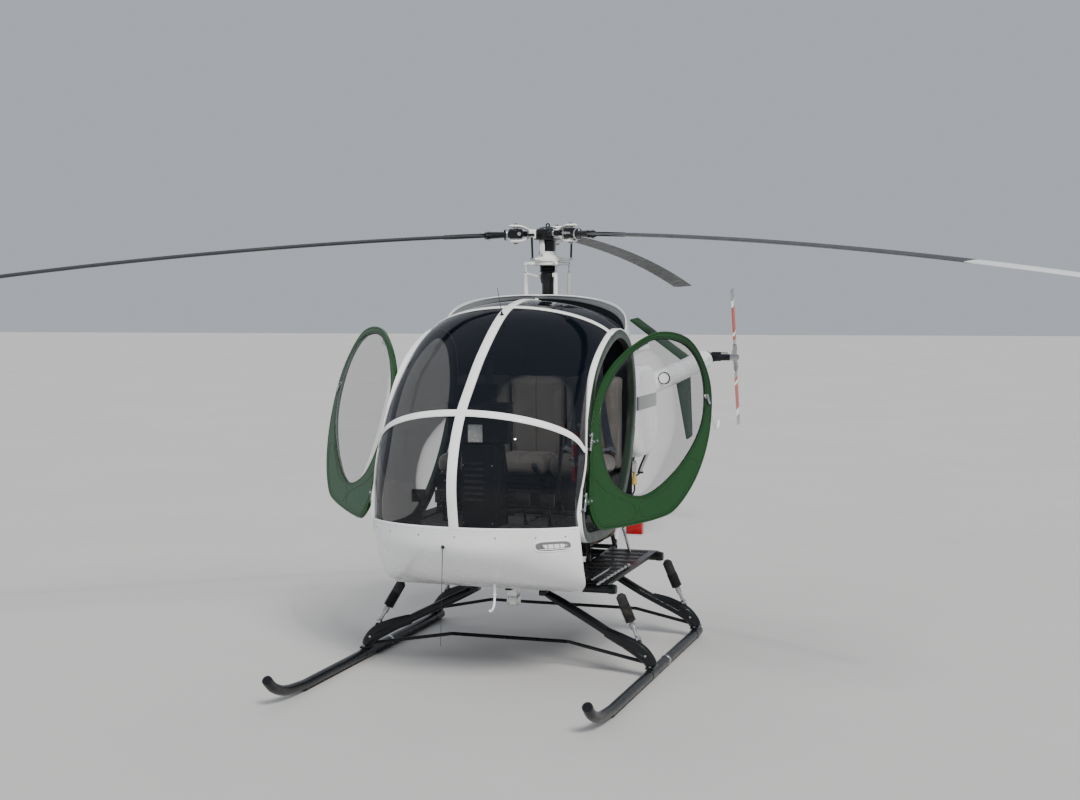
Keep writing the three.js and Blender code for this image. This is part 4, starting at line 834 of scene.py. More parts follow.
for name, side, opened in DOORS:
    turn = door_turn(side, opened)
    body = f"{name}_door"
    skin = door_skin(Shape(), side)
    # Thin beads in the darker green along the panel outlines and by the rims are painted shade of pressed grooves.
    for corners in PANELS:
        skin.sweep(on_side(panel_line(corners), side, -0.4), 2.1, 8, 2, closed=True)
    for loop, grow in ((DOOR_LOOP, -12.2), (WINDOW_LOOP, 10.8)):
        skin.sweep(on_side(polar(grown(loop, grow), WINDOW_MIDDLE, ANGLES), side, -1.9), 1.3, 6, 2, closed=True)
    door = Shape().take(skin, turn)
    for height in HINGE_HEIGHTS:
        leaf = Shape()
        hinge_leaf(leaf, side, height, -KNUCKLE_HALF, KNUCKLE_HALF, 1, 1, 0)
        door.take(leaf, turn)
    latch = on_side([(-640, 1925), (-560, 1955)], side, -25.0)
    door.take(Shape().block(latch.min(0) - 6, latch.max(0) + 6, 3, 3), turn)
    knob = on_side([(-262, 1560)], side, 0.0)[0]
    grip = Shape().lathe([(0, 0), (16, 0), (16, 5), (9, 8), (9, 18), (0, 19)], knob, (side, 0, 0), 24, 1)
    grip.block(knob + (side * 10 - 4, -9, -52), knob + (side * 10 + 10, 9, 12), 5, 1)
    door.take(grip, turn)
    make(f"{name}_door_skin", door, [GREEN, STEEL, GROOVE_PAINTED_SHADE, WHITE], f"{name}_door_frame", body=body)

    edge = polar(grown(WINDOW_LOOP, -1.0), WINDOW_MIDDLE, ANGLES)
    skins = []
    for base in (4.0, 0.0):
        layer = []
        for k in range(BUBBLE_RINGS + 1):
            scale = cos(0.5 * pi * k / BUBBLE_RINGS) if k < BUBBLE_RINGS else 0.0
            depth = base + BUBBLE_RISE * sqrt(max(0.0, 1 - scale * scale)) - DOOR_THICK / 2 - 2
            layer.append(on_side(WINDOW_MIDDLE + (edge - WINDOW_MIDDLE) * scale, side, depth))
        skins.append(layer)
    pane = Shape().ring(skins[0][::-1] + skins[1])
    make(f"{name}_door_bubble", Shape().take(pane, turn), CLEAR, f"{name}_door_window", body=body)
    bead_line = polar(grown(WINDOW_LOOP, -1.5), WINDOW_MIDDLE, ANGLES)
    bead = Shape().sweep(on_side(bead_line, side, -6.5), 3.2, 10, closed=True)
    make(f"{name}_door_window_seal", Shape().take(bead, turn), RUBBER, body=body)

# Cabin fittings

CAD_FINISH = {"cabin_floor": CARPET, "rear_bulkhead": BLACK_TRIM, "seat_base": BLACK_TRIM}
for node, finish in CAD_FINISH.items():
    data = frame["nodes"][node].data
    data.materials.clear()
    data.materials.append(finish)


SEAT_VOXEL = 0.0072
SWELL_STEPS = 20
SWELL_LIMIT = 0.012
SEAT_SPACING = 374.0


def padded(name, low, high, soft, shape_it):
    """A stuffed seat piece: a rounded block that a cloth simulation swells, then its sewn channels."""
    block = Shape().block(low, high, soft, 0, 5)
    mesh = bpy.data.meshes.new(name)
    mesh.from_pydata(in_frame(np.concatenate(block.blocks)).tolist(), [], block.faces)
    piece = mesh_object(name, mesh)
    remesh = piece.modifiers.new("even", "REMESH")
    remesh.mode, remesh.voxel_size = "VOXEL", SEAT_VOXEL
    bake(piece)
    before = points_of(piece)
    cloth = piece.modifiers.new("swell", "CLOTH")
    cloth.settings.use_pressure = True
    cloth.settings.uniform_pressure_force = 4.0
    cloth.settings.effector_weights.gravity = 0.0
    cloth.point_cache.frame_start, cloth.point_cache.frame_end = 1, SWELL_STEPS
    for step in range(1, SWELL_STEPS + 1):
        bpy.context.scene.frame_set(step)
    bake(piece)
    bpy.context.scene.frame_set(1)
    moved = points_of(piece) - before
    far = np.linalg.norm(moved, axis=1, keepdims=True)
    place_points(piece, before + moved * np.minimum(1.0, SWELL_LIMIT / np.maximum(far, 1e-9)))
    finer = piece.modifiers.new("finer", "SUBSURF")
    finer.levels = finer.render_levels = 1
    bake(piece)
    points = points_of(piece) * 1000
    points[:, 1] -= SHIFT * 1000
    points = shape_it(points)
    points[:, 1] += SHIFT * 1000
    place_points(piece, points * 0.001)
    piece.data.materials.clear()
    piece.data.materials.append(SEAT)
    piece.data.shade_smooth()
    return piece


def bake(piece):
    """Makes what a piece's modifiers show its own mesh."""
    seen = piece.evaluated_get(bpy.context.evaluated_depsgraph_get())
    mesh = bpy.data.meshes.new_from_object(seen)
    piece.modifiers.clear()
    piece.data = mesh


def points_of(piece):
    found = np.zeros(len(piece.data.vertices) * 3)
    piece.data.vertices.foreach_get("co", found)
    return found.reshape(-1, 3)


def place_points(piece, points):
    piece.data.vertices.foreach_set("co", np.asarray(points, float).ravel())
    piece.data.update()


def groove(values, at, width, depth):
    return depth * np.exp(-(((values - at) / width) ** 2))


BACK = ((-184.0, -262.0, 1162.0), (184.0, -136.0, 1768.0))
PAD = ((-183.0, -628.0, 1162.0), (183.0, -285.0, 1273.0))


def back_channels(points):
    """Vertical sewn channels down the front of a seat back, and a piped edge."""
    front = np.clip((-200 - points[:, 1]) / 40, 0, 1)
    points[:, 1] += front * groove(points[:, 0], 0.0, 5.0, 8.0)
    points[:, 1] -= front * 9.0 * np.abs(np.sin(points[:, 0] / 150.0 * pi)) ** 0.8
    return points


def pad_channels(points):
    top = np.clip((points[:, 2] - 1215) / 30, 0, 1)
    points[:, 2] -= top * groove(points[:, 0], 0.0, 5.0, 9.0)
    points[:, 2] -= top * groove(points[:, 1], -560.0, 6.0, 6.0)
    return points


def seat_row(word, box, soft, shape_it, node):
    """Three alike pieces side by side; the middle one stands in for the node."""
    first = padded(f"seat_{word}_middle", *box, soft, shape_it)
    row = [first]
    for name, x in (("left", SEAT_SPACING), ("right", -SEAT_SPACING)):
        copy = mesh_object(f"seat_{word}_{name}", first.data.copy())
        place_points(copy, points_of(copy) + np.array([x * 0.001, 0, 0]))
        row.append(copy)
    for piece in row:
        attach(piece, "airframe")
    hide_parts(node)


seat_row("back", BACK, 26, back_channels, "seat_backs")
seat_row("cushion", PAD, 46, pad_channels, "seat_cushions")


def ribbon(shape, path, width, across_to, thick=2.0, finish=0):
    """A flat strap along a path, with its width along the given direction."""
    path = np.asarray(path, float)
    along = np.gradient(path, axis=0)
    along /= np.linalg.norm(along, axis=1, keepdims=True)
    side = np.asarray(across_to, float) - along * (along @ np.asarray(across_to, float))[:, None]
    side /= np.linalg.norm(side, axis=1, keepdims=True)
    face = np.cross(along, side)
    w, t = width / 2, thick / 2
    loops = [path + side * a + face * b for a, b in ((-w, -t), (w, -t), (w, t), (-w, t))]
    points = np.stack(loops, 1)
    faces = lattice(len(path), 4, True) + [(3, 2, 1, 0), tuple(range(4 * len(path) - 4, 4 * len(path)))]
    return shape.add(points, faces, finish)


harness = Shape()
for x in (-SEAT_SPACING, SEAT_SPACING):
    for lean in (-1, 1):
        route = ((16, -128, 1858), (30, -180, 1810), (62, -288, 1740), (96, -292, 1500), (128, -300, 1350),
            (160, -330, 1300))
        ribbon(harness, smooth([(x + lean * out, y, z) for out, y, z in route], 40), 44, LEFT)
        route = ((176, -290, 1290), (150, -360, 1312), (70, -440, 1302), (14, -452, 1299))
        ribbon(harness, smooth([(x + lean * out, y, z) for out, y, z in route], 24), 44, (0, 1, 0.2))
    harness.block((x - 40, -480, 1294), (x + 40, -424, 1310), 5, 1)
    harness.block((x - 34, -150, 1846), (x + 34, -125, 1900), 6, 2)
    harness.rod((x - 40, -137, 1873), (x + 40, -137, 1873), 9, finish=1)
make("seat_harness", harness, [WEBBING, STEEL, BLACK_TRIM])

# Trim on the bulkhead and the seat base

trim = Shape()
for k in range(6):
    z = 955 + k * 30
    trim.block((-150, -604.5, z), (150, -599, z + 12), 2)
for x in (-360, 360):
    trim.block((x - 150, -604, 960), (x + 150, -600, 1120), 3)
    for dx in (-140, 140):
        for z in (970, 1110):
            trim.rivet((x + dx, -604, z), (0, -1, 0), 4, 1)
HOOP = ((-520, 1800), (-520, 2040), (-400, 2160), (0, 2215), (400, 2160), (520, 2040), (520, 1800))
trim.pipe([(x, -131 if z == 1800 else -133, z) for x, z in HOOP], 60, 9, 10)
for x in (-200, 0, 200):
    trim.block((x - 80, -133, 1830), (x + 80, -124, 2040), 8)
make("cabin_trim_panels", trim, [BLACK_TRIM, STEEL])

# Instrument console: pedestal, hooded panel with dials on the seats' side, silver case ahead of it

console = Shape()
pedestal = [(-1322, 926), (-1066, 926), (-1066, 1240), (-1130, 1425), (-1322, 1425)]
console.slab([(-100, y, z) for y, z in pedestal], (200, 0, 0), 10)
hood = [(-1322, 1426), (-1208, 1426), (-1208, 1648), (-1232, 1660), (-1322, 1660)]
console.slab([(-186, y, z) for y, z in hood], (372, 0, 0), 12)
console.block((-148, -1324, 1655), (92, -1222, 1768), 9)
console.block((-150, -1327, 1764), (94, -1216, 1771), 3)
console.block((-192, -1328, 1656), (192, -1202, 1663), 3)
console.block((-56, -1336, 1433), (38, -1318, 1541), 12, 1, 4)
for k in range(7):
    z = 1090 + k * 36
    console.block((-84, -1327, z), (40, -1320, z + 13), 4, 2)
for x, z, r in [(x, z, 28 if (x, z) == (126, 1490) else 38) for z in (1590, 1490) for x in (-126, -42, 42, 126)]:
    console.lathe([(r, 0), (r, 4), (r - 5, 5), (r - 7, 2), (0, 2)], (x, -1208, z), AFT, 32, 2)
    console.lathe([(r - 7, 2.2), (0, 2.4)], (x, -1208, z), AFT, 24, 3)
    console.block((x - 1, -1205, z), (x + 1, -1204, z + r * 0.6), 0.4, 4)
for z in (1680, 1722):
    console.block((-130, -1223, z), (75, -1216, z + 32), 3, 3)
    for x in (-112, 57):
        console.lathe([(0, 0), (9, 0), (8, 9), (0, 10)], (x, -1217, z + 16), AFT, 14, 2)
for row in range(3):
    for column in range(5):
        x, z = -64 + column * 32, 1110 + row * 50
        console.lathe([(0, 0), (9, 0), (8, 12), (0, 13)], (x, -1066, z), AFT, 14, 2)
for x in (-90, 90):
    for z in (960, 1300):
        console.rivet((x, -1322, z), (0, -1, 0), 4, 1)
make("instrument_panel", console, [BLACK_TRIM, SILVER, RUBBER, BLACK, WHITE], "instrument_console")

# Sticks, collective levers, pedals and their cross tubes

levers = Shape()
levers.rod((-478, -760, 955), (478, -760, 955), 16)
for x in (-470, 0, 470):
    levers.block((x - 20, -785, 925.6), (x + 20, -735, 949), 5)
for x in (-330, 330):
    levers.pipe([(x, -760, 955), (x, -830, 1080), (x, -780, 1260), (x, -750, 1390)], 36, 12.0, 16)
    grip = [(0, 0), (13, 0), (15, 12), (13, 30), (16, 46), (13, 62), (17, 80), (20, 96), (19, 106), (10, 112),
        (0, 112)]
    levers.lathe(grip, (x, -750, 1372), (0, 0.14, 1), 24, 1)
    for button_x in (x - 6, x + 7):
        levers.lathe([(0, 0), (5, 0), (5, 4), (0, 5)], (button_x, -742, 1482), (0, -0.3, 1), 12, 2)
    levers.lathe([(24, 0), (26, 6), (22, 16), (20, 30), (15, 36), (12, 40)], (x, -762, 962), (0, -0.3, 1), 24, 1)
    for dx in (-75, 75):
        levers.rod((x + dx, -760, 955), (x + dx, -1200, 955), 8)
        levers.rod((x + dx, -1200, 948), (x + dx, -1240, 1070), 8)
        levers.lathe([(0, 0), (13, 0), (13, 22), (0, 22)], (x + dx - 11, -1200, 955), LEFT, 18)
        levers.block((x + dx - 43, -1260, 1062), (x + dx + 43, -1242, 1138), 4)
        for k in range(5):
            z = 1070 + k * 14
            levers.block((x + dx - 38, -1242, z), (x + dx + 38, -1238, z + 7), 1.5, 1)
for x in (-187, 187):
    levers.block((x - 22, -626, 1070), (x + 22, -603, 1130), 4)
    levers.rod((x - 16, -630, 1100), (x + 16, -630, 1100), 15)
    levers.rod((x, -630, 1100), (x, -800, 1215), 12)
    levers.lathe([(0, 0), (15, 0), (18, 6), (18, 96), (15, 104), (0, 106)], (x, -775, 1198), (0, -0.83, 0.56), 24, 1)
make("control_levers", levers, [BLACK, RUBBER, TAIL_RED], "flight_controls")

# Fire extinguisher with its clamp, valve and hose

bottle = Shape()
x, y = 552.0, -1120.0
BOTTLE = [(0, 1201), (28, 1201), (34, 1204), (38, 1211), (38, 1434), (37, 1450), (32, 1470), (22, 1486), (15, 1492),
    (0, 1492)]
# The bands, the clamp and the valve. Columns: profile, sides, finish.
BOTTLE_BANDS = (
    ([(38.2, 1292), (38.9, 1293), (38.9, 1326), (38.2, 1327)], 40, 1),
    ([(38.2, 1418), (38.9, 1419), (38.2, 1448), (37.4, 1450)], 40, 1),
    ([(39.2, 1329), (41, 1330), (41, 1349), (39.2, 1350)], 40, 2),
    ([(0, 1490), (14, 1490), (14, 1508), (19, 1510), (19, 1519), (0, 1519)], 20, 2),
)
for profile, sides, finish in ((BOTTLE, 40, 0), *BOTTLE_BANDS):
    bottle.lathe(profile, (x, y, 0), UP, sides, finish)
bottle.block((x - 7, y - 12, 1517), (x + 7, y + 44, 1525), 2, 2)
bottle.block((x - 7, y - 46, 1530), (x + 7, y + 50, 1539), 2, 2)
bottle.pipe([(x + 14, y, 1512), (x + 32, y, 1510), (x + 44, y, 1480), (x + 43, y, 1400)], 24, 4.5, 12, 3)
bottle.block((x - 8, -1278, 1330), (x + 8, y - 36, 1349), 2, 2)
bottle.block((x - 6, -1288, 1331), (604, -1264, 1349), 2, 2)
make("extinguisher", bottle, [BOTTLE_RED, WHITE, STEEL, BLACK], "fire_extinguisher")

# Centre section: tube frame, beams and what they carry

# Columns: y, z, half length.
BEAMS = ((-800.0, 510.0, 690.0), (180.0, 550.0, 730.0))
POINTS = {
    "beam": (230, -800, 510),
    "floor": (330, -800, 912),
    "low": (300, -90, 520),
    "rear": (300, 520, 540),
    "high": (260, -85, 1330),
    "boom": (98, 560, 1415),
}
RUNS = (("beam", "low"), ("low", "rear"), ("low", "high"), ("rear", "boom"), ("high", "boom"), ("beam", "floor"))
tubes = Shape()
for mirror in (None, MIRROR):
    half_frame = Shape()
    for first, second in RUNS:
        half_frame.rod(POINTS[first], POINTS[second], 15, sides=24)
    for place, size in (("low", 21), ("rear", 21), ("high", 19), ("beam", 22)):
        half_frame.lathe([(0, -size), (size * 0.7, -size * 0.7), (size, 0), (size * 0.7, size * 0.7), (0, size)],
            POINTS[place], UP, 20)
    half_frame.block((280, 515, 531), (310, 545, 591), 3)
    half_frame.bolt((310, 530, 574), LEFT, 8, 1)
    tubes.take(half_frame, mirror)
for place in ("low", "rear", "high"):
    x, y, z = POINTS[place]
    tubes.rod((-x, y, z), (x, y, z), 16, sides=24)
ENGINE_MOUNT = ((260, -85, 1330), (470, 60, 1190), (470, 400, 1190), (262, 536, 710))
for first, second in zip(ENGINE_MOUNT, ENGINE_MOUNT[1:]):
    tubes.rod(first, second, 14, sides=24)
for y, z, half in BEAMS:
    tubes.rod((-half, y, z), (half, y, z), 28, sides=32, soft=3)
    for x in (-half + 30, -230, 230, half - 30):
        tubes.lathe([(28, -16), (31, -14), (31, 14), (28, 16)], (x, y, z), LEFT, 32)
        tubes.bolt((x, y, z + 30), UP, 6, 1)
boom_axis = unit(BOOM_REAR - BOOM_FRONT)
tubes.lathe([(90, 0), (104, 0), (104, 40), (90, 40), (90, 0)], BOOM_FRONT, boom_axis, 64)
make("tube_frame", tubes, [BLACK, STEEL], "centre_frame")

motor = Shape()
CRANKCASE = ((-48, 690), (-48, 880), (-20, 898), (330, 898), (343, 880), (343, 690), (300, 681), (0, 681))
motor.slab([(-130, y, z) for y, z in CRANKCASE], (260, 0, 0), 12)
motor.slab([(-88, y, z) for y, z in ((112, 579), (248, 579), (260, 690), (100, 690))], (176, 0, 0), 6)
for side in (1, -1):
    for y in (60, 245):
        motor.rod((side * 118, y, 790), (side * 180, y, 790), 62, sides=32)
        motor.rod((side * 170, y, 790), (side * 352, y, 790), 50, sides=32)
        for k in range(13):
            x = side * (182 + k * 13.2)
            motor.block((x - 2.2, y - 68, 722), (x + 2.2, y + 68, 858), 1.8, 0, 1)
        motor.block((side * 350, y - 60, 730), (side * 392, y + 60, 850), 12)
        motor.block((side * 384, y - 44, 742), (side * 400, y + 44, 838), 6, 1)
        for dy in (-34, 34):
            for z in (754, 826):
                motor.bolt((side * 399, y + dy, z), (side, 0, 0), 4.5, 2)
        pipe = ((366, y - 10, 735), (360, y - 14, 690), (300, y - 30, 655), (230, y - 40, 662))
        motor.pipe([(side * x, *yz) for x, *yz in pipe], 24, 21, 16, 3)
        motor.rod((side * 366, y + 26, 845), (side * 366, y + 26, 882), 8, finish=2)
        lead = ((366, y + 26, 880), (330, y + 20, 905), (200, y + 10, 915), (100, y, 905))
        motor.pipe([(side * x, *yz) for x, *yz in lead], 24, 4.5, 8, 4)
for y in (-10, 60, 130, 200, 270):
    for x in (-90, 90):
        motor.bolt((x, y, 898), UP, 6, 2)
motor.lathe([(0, 0), (48, 0), (52, 6), (52, 60), (44, 72), (0, 74)], (0, 40, 897), UP, 32, 4)
motor.pipe([(-125, 0, 840), (-200, -30, 900), (-260, -60, 1040), (-250, -70, 1180)], 30, 9, 12, 4)
motor.pipe([(125, 20, 700), (190, 0, 640), (240, -40, 600), (290, -70, 560)], 30, 8, 12, 4)
make("piston_engine", motor, [CAST, DARK_STEEL, STEEL, EXHAUST, RUBBER], "engine")

shroud = Shape()
shroud.lathe([(0, 1), (240, 1), (270, 2), (289, 14), (290, 20), (290, 72), (286, 78), (270, 79), (262, 70), (0, 70)],
    (0, 345.5, 800), AFT, 72)
for k in range(24):
    turn = Matrix.Translation((0, 417, 800)) @ spin(15 * k, "Y")
    shroud.block((60, 0, -2), (255, 8, 2), 1.5, 0, 1, turn)
shroud.sweep([(290.5 * c, 385, 800 + 290.5 * s) for c, s in circle(64)], 2.2, 8, 1, closed=True)
make("cooling_fan", shroud, [BLACK, STEEL], "fan_shroud")

drive = Shape()
# Columns: z, radius.
PULLEYS = ((800.0, 110.0), (1425.0, 78.0))
for z, r in PULLEYS:
    rim = [(0, 442), (r - 6, 442), (r, 440), (r, 446)]
    for k in range(7):
        y = 448 + k * 6.6
        rim += [(r - 1, y), (r - 7, y + 2), (r - 7, y + 3), (r - 1, y + 5)]
    rim += [(r, 496), (r, 500), (r - 6, 499), (r - 12, 490), (30, 488), (28, 498), (0, 498)]
    drive.lathe(rim, (0, 0, z), AFT, 64)
    for c, s in circle(6):
        drive.bolt((c * 20, 498, z + s * 20), AFT, 4, 1)
drive.rod((0, 426.5, 800), (0, 442, 800), 30)
wrap = [(cos(a), sin(a), z, r) for (z, r), start in zip(PULLEYS, (pi, 0)) for a in np.linspace(start, start + pi, 40)]
for k in range(6):
    y = 450.5 + k * 6.6
    loops = []
    for grow, dy in ((-2, 1.4), (-2, 4.6), (8, 5.4), (8, 0.4)):
        loops.append(np.array([(c * (r + grow), y + dy, z + s * (r + grow)) for c, s, z, r in wrap]))
    drive.ring(loops + loops[:1], 2)
make("belt_and_pulleys", drive, [DARK_STEEL, STEEL, BELT], "belt_drive")

gears = Shape()
gears.lathe([(0, 1470), (88, 1470), (96, 1474), (100, 1490), (100, 1500), (94, 1503), (94, 1576), (100, 1580),
    (100, 1592), (92, 1612), (78, 1640), (66, 1660), (61, 1690), (60, 1699), (0, 1699)], sides=56)
for k, (c, s) in enumerate(circle(12)):
    gears.bolt((96 * c, 96 * s, 1592), UP, 4.5, 1)
    gears.block((-2.5, 86, 1504), (2.5, 99, 1575), 1.2, 0, 1, spin(30 * k))
gears.lathe([(0, -60), (66, -60), (70, -54), (70, 20), (62, 60), (52, 200), (48, 320), (45, 438), (0, 438)],
    (0, 0, 1425), AFT, 40)
gears.block((-84, -99, 1347), (84, 99, 1478), 14)
for x in (-70, 70):
    for z in (1362, 1462):
        gears.bolt((x, -99, z), (0, -1, 0), 5, 1)
make("rotor_gearbox", gears, [CAST, STEEL], "main_gearbox")

mast = Shape()
profile = [(0, 1700.6), (56, 1700.6), (56, 1712), (44, 1720), (41, 1730), (41, 2352), (49, 2364), (52, 2390),
    (50, 2416), (45, 2426)]
for k in range(4):
    profile += [(47, 2429 + k * 11), (55, 2431 + k * 11), (57, 2433 + k * 11), (55, 2436 + k * 11)]
profile += [(48, 2472), (48, 2474), (0, 2474)]
mast.lathe(profile, sides=48)
mast.lathe([(41, 2120), (52, 2122), (52, 2150), (41, 2152)], sides=48)
for x in (-52, 52):
    mast.rod((x * 1.35, 0, 1690), (x * 1.0, 0, 2140), 7)
make("rotor_mast", mast, [BLACK, STEEL], "mast_tube")

CONTROL_RODS = ((-150, -10), (72, -60), (132, 40))
swash = Shape()
swash.lathe([(0, 2475.6), (66, 2475.6), (74, 2479), (74, 2490), (70, 2492), (70, 2496.4), (0, 2496.4)], sides=48)
for x, y in CONTROL_RODS:
    out = unit((x, y, 0))
    swash.rod((x * 0.3, y * 0.3, 2486), (x, y, 2486), 15, 11, sides=20)
    swash.lathe(spool(12, 11, 13, 7), (x, y, 2486), (out[1], -out[0], 0), 24)
    swash.bolt((x + out[1] * 12, y - out[0] * 12, 2486), (out[1], -out[0], 0), 4, 1)
    swash.rod((x, y, 2486), (x, y, 2432), 4.5, sides=16, finish=0 if x < 0 else 1)
    swash.lathe(spool(10, 8, 9, 7), (x, y, 2426), AFT, 20, 1)
    body = [(x, y, 2424), (x, y, 2416), (x, y, 2300), (x * 0.97, y, 2160), (x * 0.93, y, 1900), (x * 0.9, y, 1722)]
    swash.sweep(smooth(body, 30), np.interp(np.arange(30), (0, 2, 10, 24, 29), (6, 9, 14, 13.5, 10)), 24)
swash.rod((-148, -10, 2420), (-46, -4, 2398), 8, 10, 20)
swash.lathe(spool(9, 13, 14, 6), (-148, -10, 2420), AFT, 24)
swash.block((50, -66, 2398), (78, -52, 2424), 4)
make("swash_ring_and_rods", swash, [WHITE_WORKING, STEEL], "swashplate_and_rods")

TANK_X, TANK_Y, TANK_Z = (330.0, 610.0), (-20.0, 500.0), (1205.5, 1815.0)
TANK_MIDDLE_Y, TANK_MIDDLE_Z = (TANK_Y[0] + TANK_Y[1]) / 2, (TANK_Z[0] + TANK_Z[1]) / 2
TANK_CORNER = 0.55


def tank_ring(t, grow=0.0):
    """Round-cornered outline of the tank at a share of its width."""
    edge = min(t, 1 - t) * 2
    fill = 0.52 + 0.48 * (1 - (1 - min(1.0, edge / 0.42)) ** 2.4) ** 0.5 if edge < 0.42 else 1.0
    size = 0.7 + 0.3 * fill
    angles = np.linspace(0, 2 * pi, 120, endpoint=False)
    y, z = (
        middle + ((high - low) / 2 * size + grow) * np.sign(c) * np.abs(c) ** TANK_CORNER
        for middle, (low, high), c in (
            (TANK_MIDDLE_Y, TANK_Y, np.cos(angles)),
            (TANK_MIDDLE_Z, TANK_Z, np.sin(angles)),
        )
    )
    return np.stack([np.full(len(angles), TANK_X[0] + (TANK_X[1] - TANK_X[0]) * t), y, z], 1)


def tank_level(z, grow):
    """The tank's outline at a height."""
    front, back = [], []
    for t in stops:
        outline = tank_ring(t)
        reach = outline[:, 1].max() - TANK_MIDDLE_Y
        high = abs(z - TANK_MIDDLE_Z) / (outline[:, 2].max() - TANK_MIDDLE_Z)
        depth = reach * (1 - min(high, 1) ** (2 / TANK_CORNER)) ** (TANK_CORNER / 2) + grow
        x = outline[0, 0] + grow * (2 * t - 1)
        front.append((x, TANK_MIDDLE_Y - depth, z))
        back.append((x, TANK_MIDDLE_Y + depth, z))
    return np.array(front + back[::-1])


tank = Shape()
stops = 0.5 - 0.5 * np.cos(np.linspace(0, pi, 40))
tank.ring([tank_ring(t) for t in stops], 0, ends=True)
tank.sweep(tank_ring(0.5, 1.0), 2.2, 8, 0, closed=True)
tank.lathe([(0, 0), (34, 0), (38, 3), (38, 12), (30, 18), (0, 19)], (470, 240, 1810), UP, 36, 1)
tank.ring([tank_level(z, g) for z, g in ((1527, -1.0), (1529, 1.4), (1550, 1.6), (1590, 1.6), (1617, 1.4),
    (1619, -1.0))], 2)
make("fuel_tank_shell", tank, [WHITE, STEEL, BAND], "fuel_tank")

below = Shape()
x, y = 485.0, 300.0
below.rod((x, y, 1212), (x, y, 1168), 9, finish=1)
below.lathe([(0, 1168), (24, 1168), (30, 1163), (31, 1158), (31, 1100), (28, 1092), (20, 1088), (0, 1088)],
    (x, y, 0), UP, 36)
below.lathe([(31, 1150), (34, 1149), (34, 1141), (31, 1140)], (x, y, 0), UP, 36)
below.lathe([(0, 1088), (12, 1088), (12, 1056), (19, 1053), (19, 1012), (14, 1006), (0, 1006)], (x + 16, y, 0), UP,
    28, 2)
below.block((x - 38, y + 18, 1120), (x + 4, y + 92, 1128), 2, 1)
below.pipe([(x + 16, y, 1010), (x + 10, y, 950), (x - 60, y - 20, 860), (x - 160, y - 30, 820)], 30, 6, 12, 3)
strip = smooth([(597, 512, 1440), (594, 512, 1360), (570, 512, 1267), (537, 512, 1186), (505, 512, 1114),
    (486, 512, 1060)], 40)
ribbon(below, strip, 17, (1, 0, 0.4), 5.0, 4)
ribbon(below, strip - (19, -6, 4), 13, (1, 0, 0.4), 4.0, 3)
below.block((470, 506, 1056), (506, 524, 1070), 2, 1)
below.rod((488, 515, 1064), (420, 470, 1010), 6, finish=1)
below.block((440, 300, 668), (554, 352, 752), 7, 5)
below.block((438, 298, 662), (558, 354, 669), 2, 4)
below.rod((418, 300, 730), (474, 300, 528), 8, finish=1)
make("fuel_filter_and_lines", below, [STEEL, DARK_STEEL, YELLOW, RUBBER, WHITE, RED])

muffler = Shape()
muffler.lathe([(0, 0), (36, 2), (48, 12), (55, 30), (55, 365), (48, 383), (36, 393), (0, 395)], (-210, -60, 660),
    AFT, 48)
for y in (-20, 130, 290):
    muffler.lathe([(55, -4), (58, -3), (58, 3), (55, 4)], (-210, y, 660), AFT, 48)
muffler.pipe([(-210, 310, 660), (-250, 370, 650), (-330, 410, 610), (-398, 430, 576)], 30, 24, 24)
muffler.pipe([(-210, 60, 690), (-210, 60, 705), (-211, 60, 719)], 8, 24, 24)
make("exhaust_can", muffler, [EXHAUST], "exhaust_muffler")

# Tail


def boom_at(y):
    return BOOM_FRONT + boom_axis * (y - BOOM_FRONT[1]) / boom_axis[1]


boom = Shape()
length = float(np.linalg.norm(BOOM_REAR - BOOM_FRONT))
boom.lathe([(84, 0), (88, 0), (88, length), (84, length), (84, 0)], BOOM_FRONT, boom_axis, 72)
side_dir, top_dir = across(boom_axis)


def round_boom(count):
    """Directions square to the boom, at even steps round it."""
    return [side_dir * c + top_dir * s for c, s in circle(count)]


for y in (700, 1300, 2000, 2700, 3400, 4100, 4500):
    boom.lathe([(87.8, -9), (88.9, -8), (88.9, 8), (87.8, 9)], boom_at(y), boom_axis, 72)
    for out in round_boom(24):
        boom.rivet(boom_at(y) + out * 88.6, out, 2.6)
for y in (1480, 2350):
    out = unit(np.array((0.8, 0, -0.25)))
    boom.lathe([(34, 82), (34, 89.5), (40, 92), (44, 89.5), (44, 82)], boom_at(y), out, 40, 1)
    boom.lathe([(0, 90), (26, 89.8), (34, 88)], boom_at(y), out, 40)
boom.lathe([(0, 86), (13, 86), (14, 94), (10, 104), (0, 108)], boom_at(1700), unit((0.72, 0, -0.7)), 24, 2)
lamp_at = boom_at(2580) + np.array((0.91, 0, 0.41)) * 138
boom.lathe([(0, -10), (40, -8), (43, 0), (43, 3), (49, 3), (50, -4), (50, 34), (36, 60), (0, 66)], lamp_at,
    (0.1, 1, 0), 40)
boom.lathe([(43, 1), (43, -3), (50, -3), (50.6, 2), (50.6, 10), (43, 10)], lamp_at, (0.1, 1, 0), 40, 3)
boom.block(lamp_at - (74, -12, 34), lamp_at - (30, -38, 10), 3)
make("tail_boom_tube", boom, [WHITE, STEEL, LENS, BLACK], "tail_boom")

struts = Shape()
at = boom_at(1900)
struts.lathe([(88.5, -20), (97, -20), (98, -18), (98, 18), (97, 20), (88.5, 20), (88.5, -20)], at, boom_axis, 64)
for side in (1, -1):
    strut = [(96, 1900, at[2] - 20), (98, 1880, at[2] - 38), (293, 572, 588), (295, 550, 562)]
    struts.sweep([(side * x, y, z) for x, y, z in strut], [11, 16, 16, 12], 24)
    struts.rod((side * 84, 1900, at[2] - 20), (side * 112, 1900, at[2] - 20), 9, finish=1)
    struts.block((side * 286, 549, 548), (side * 304, 566, 586), 3, 1)
make("boom_brace_struts", struts, [WHITE, STEEL], "boom_struts")

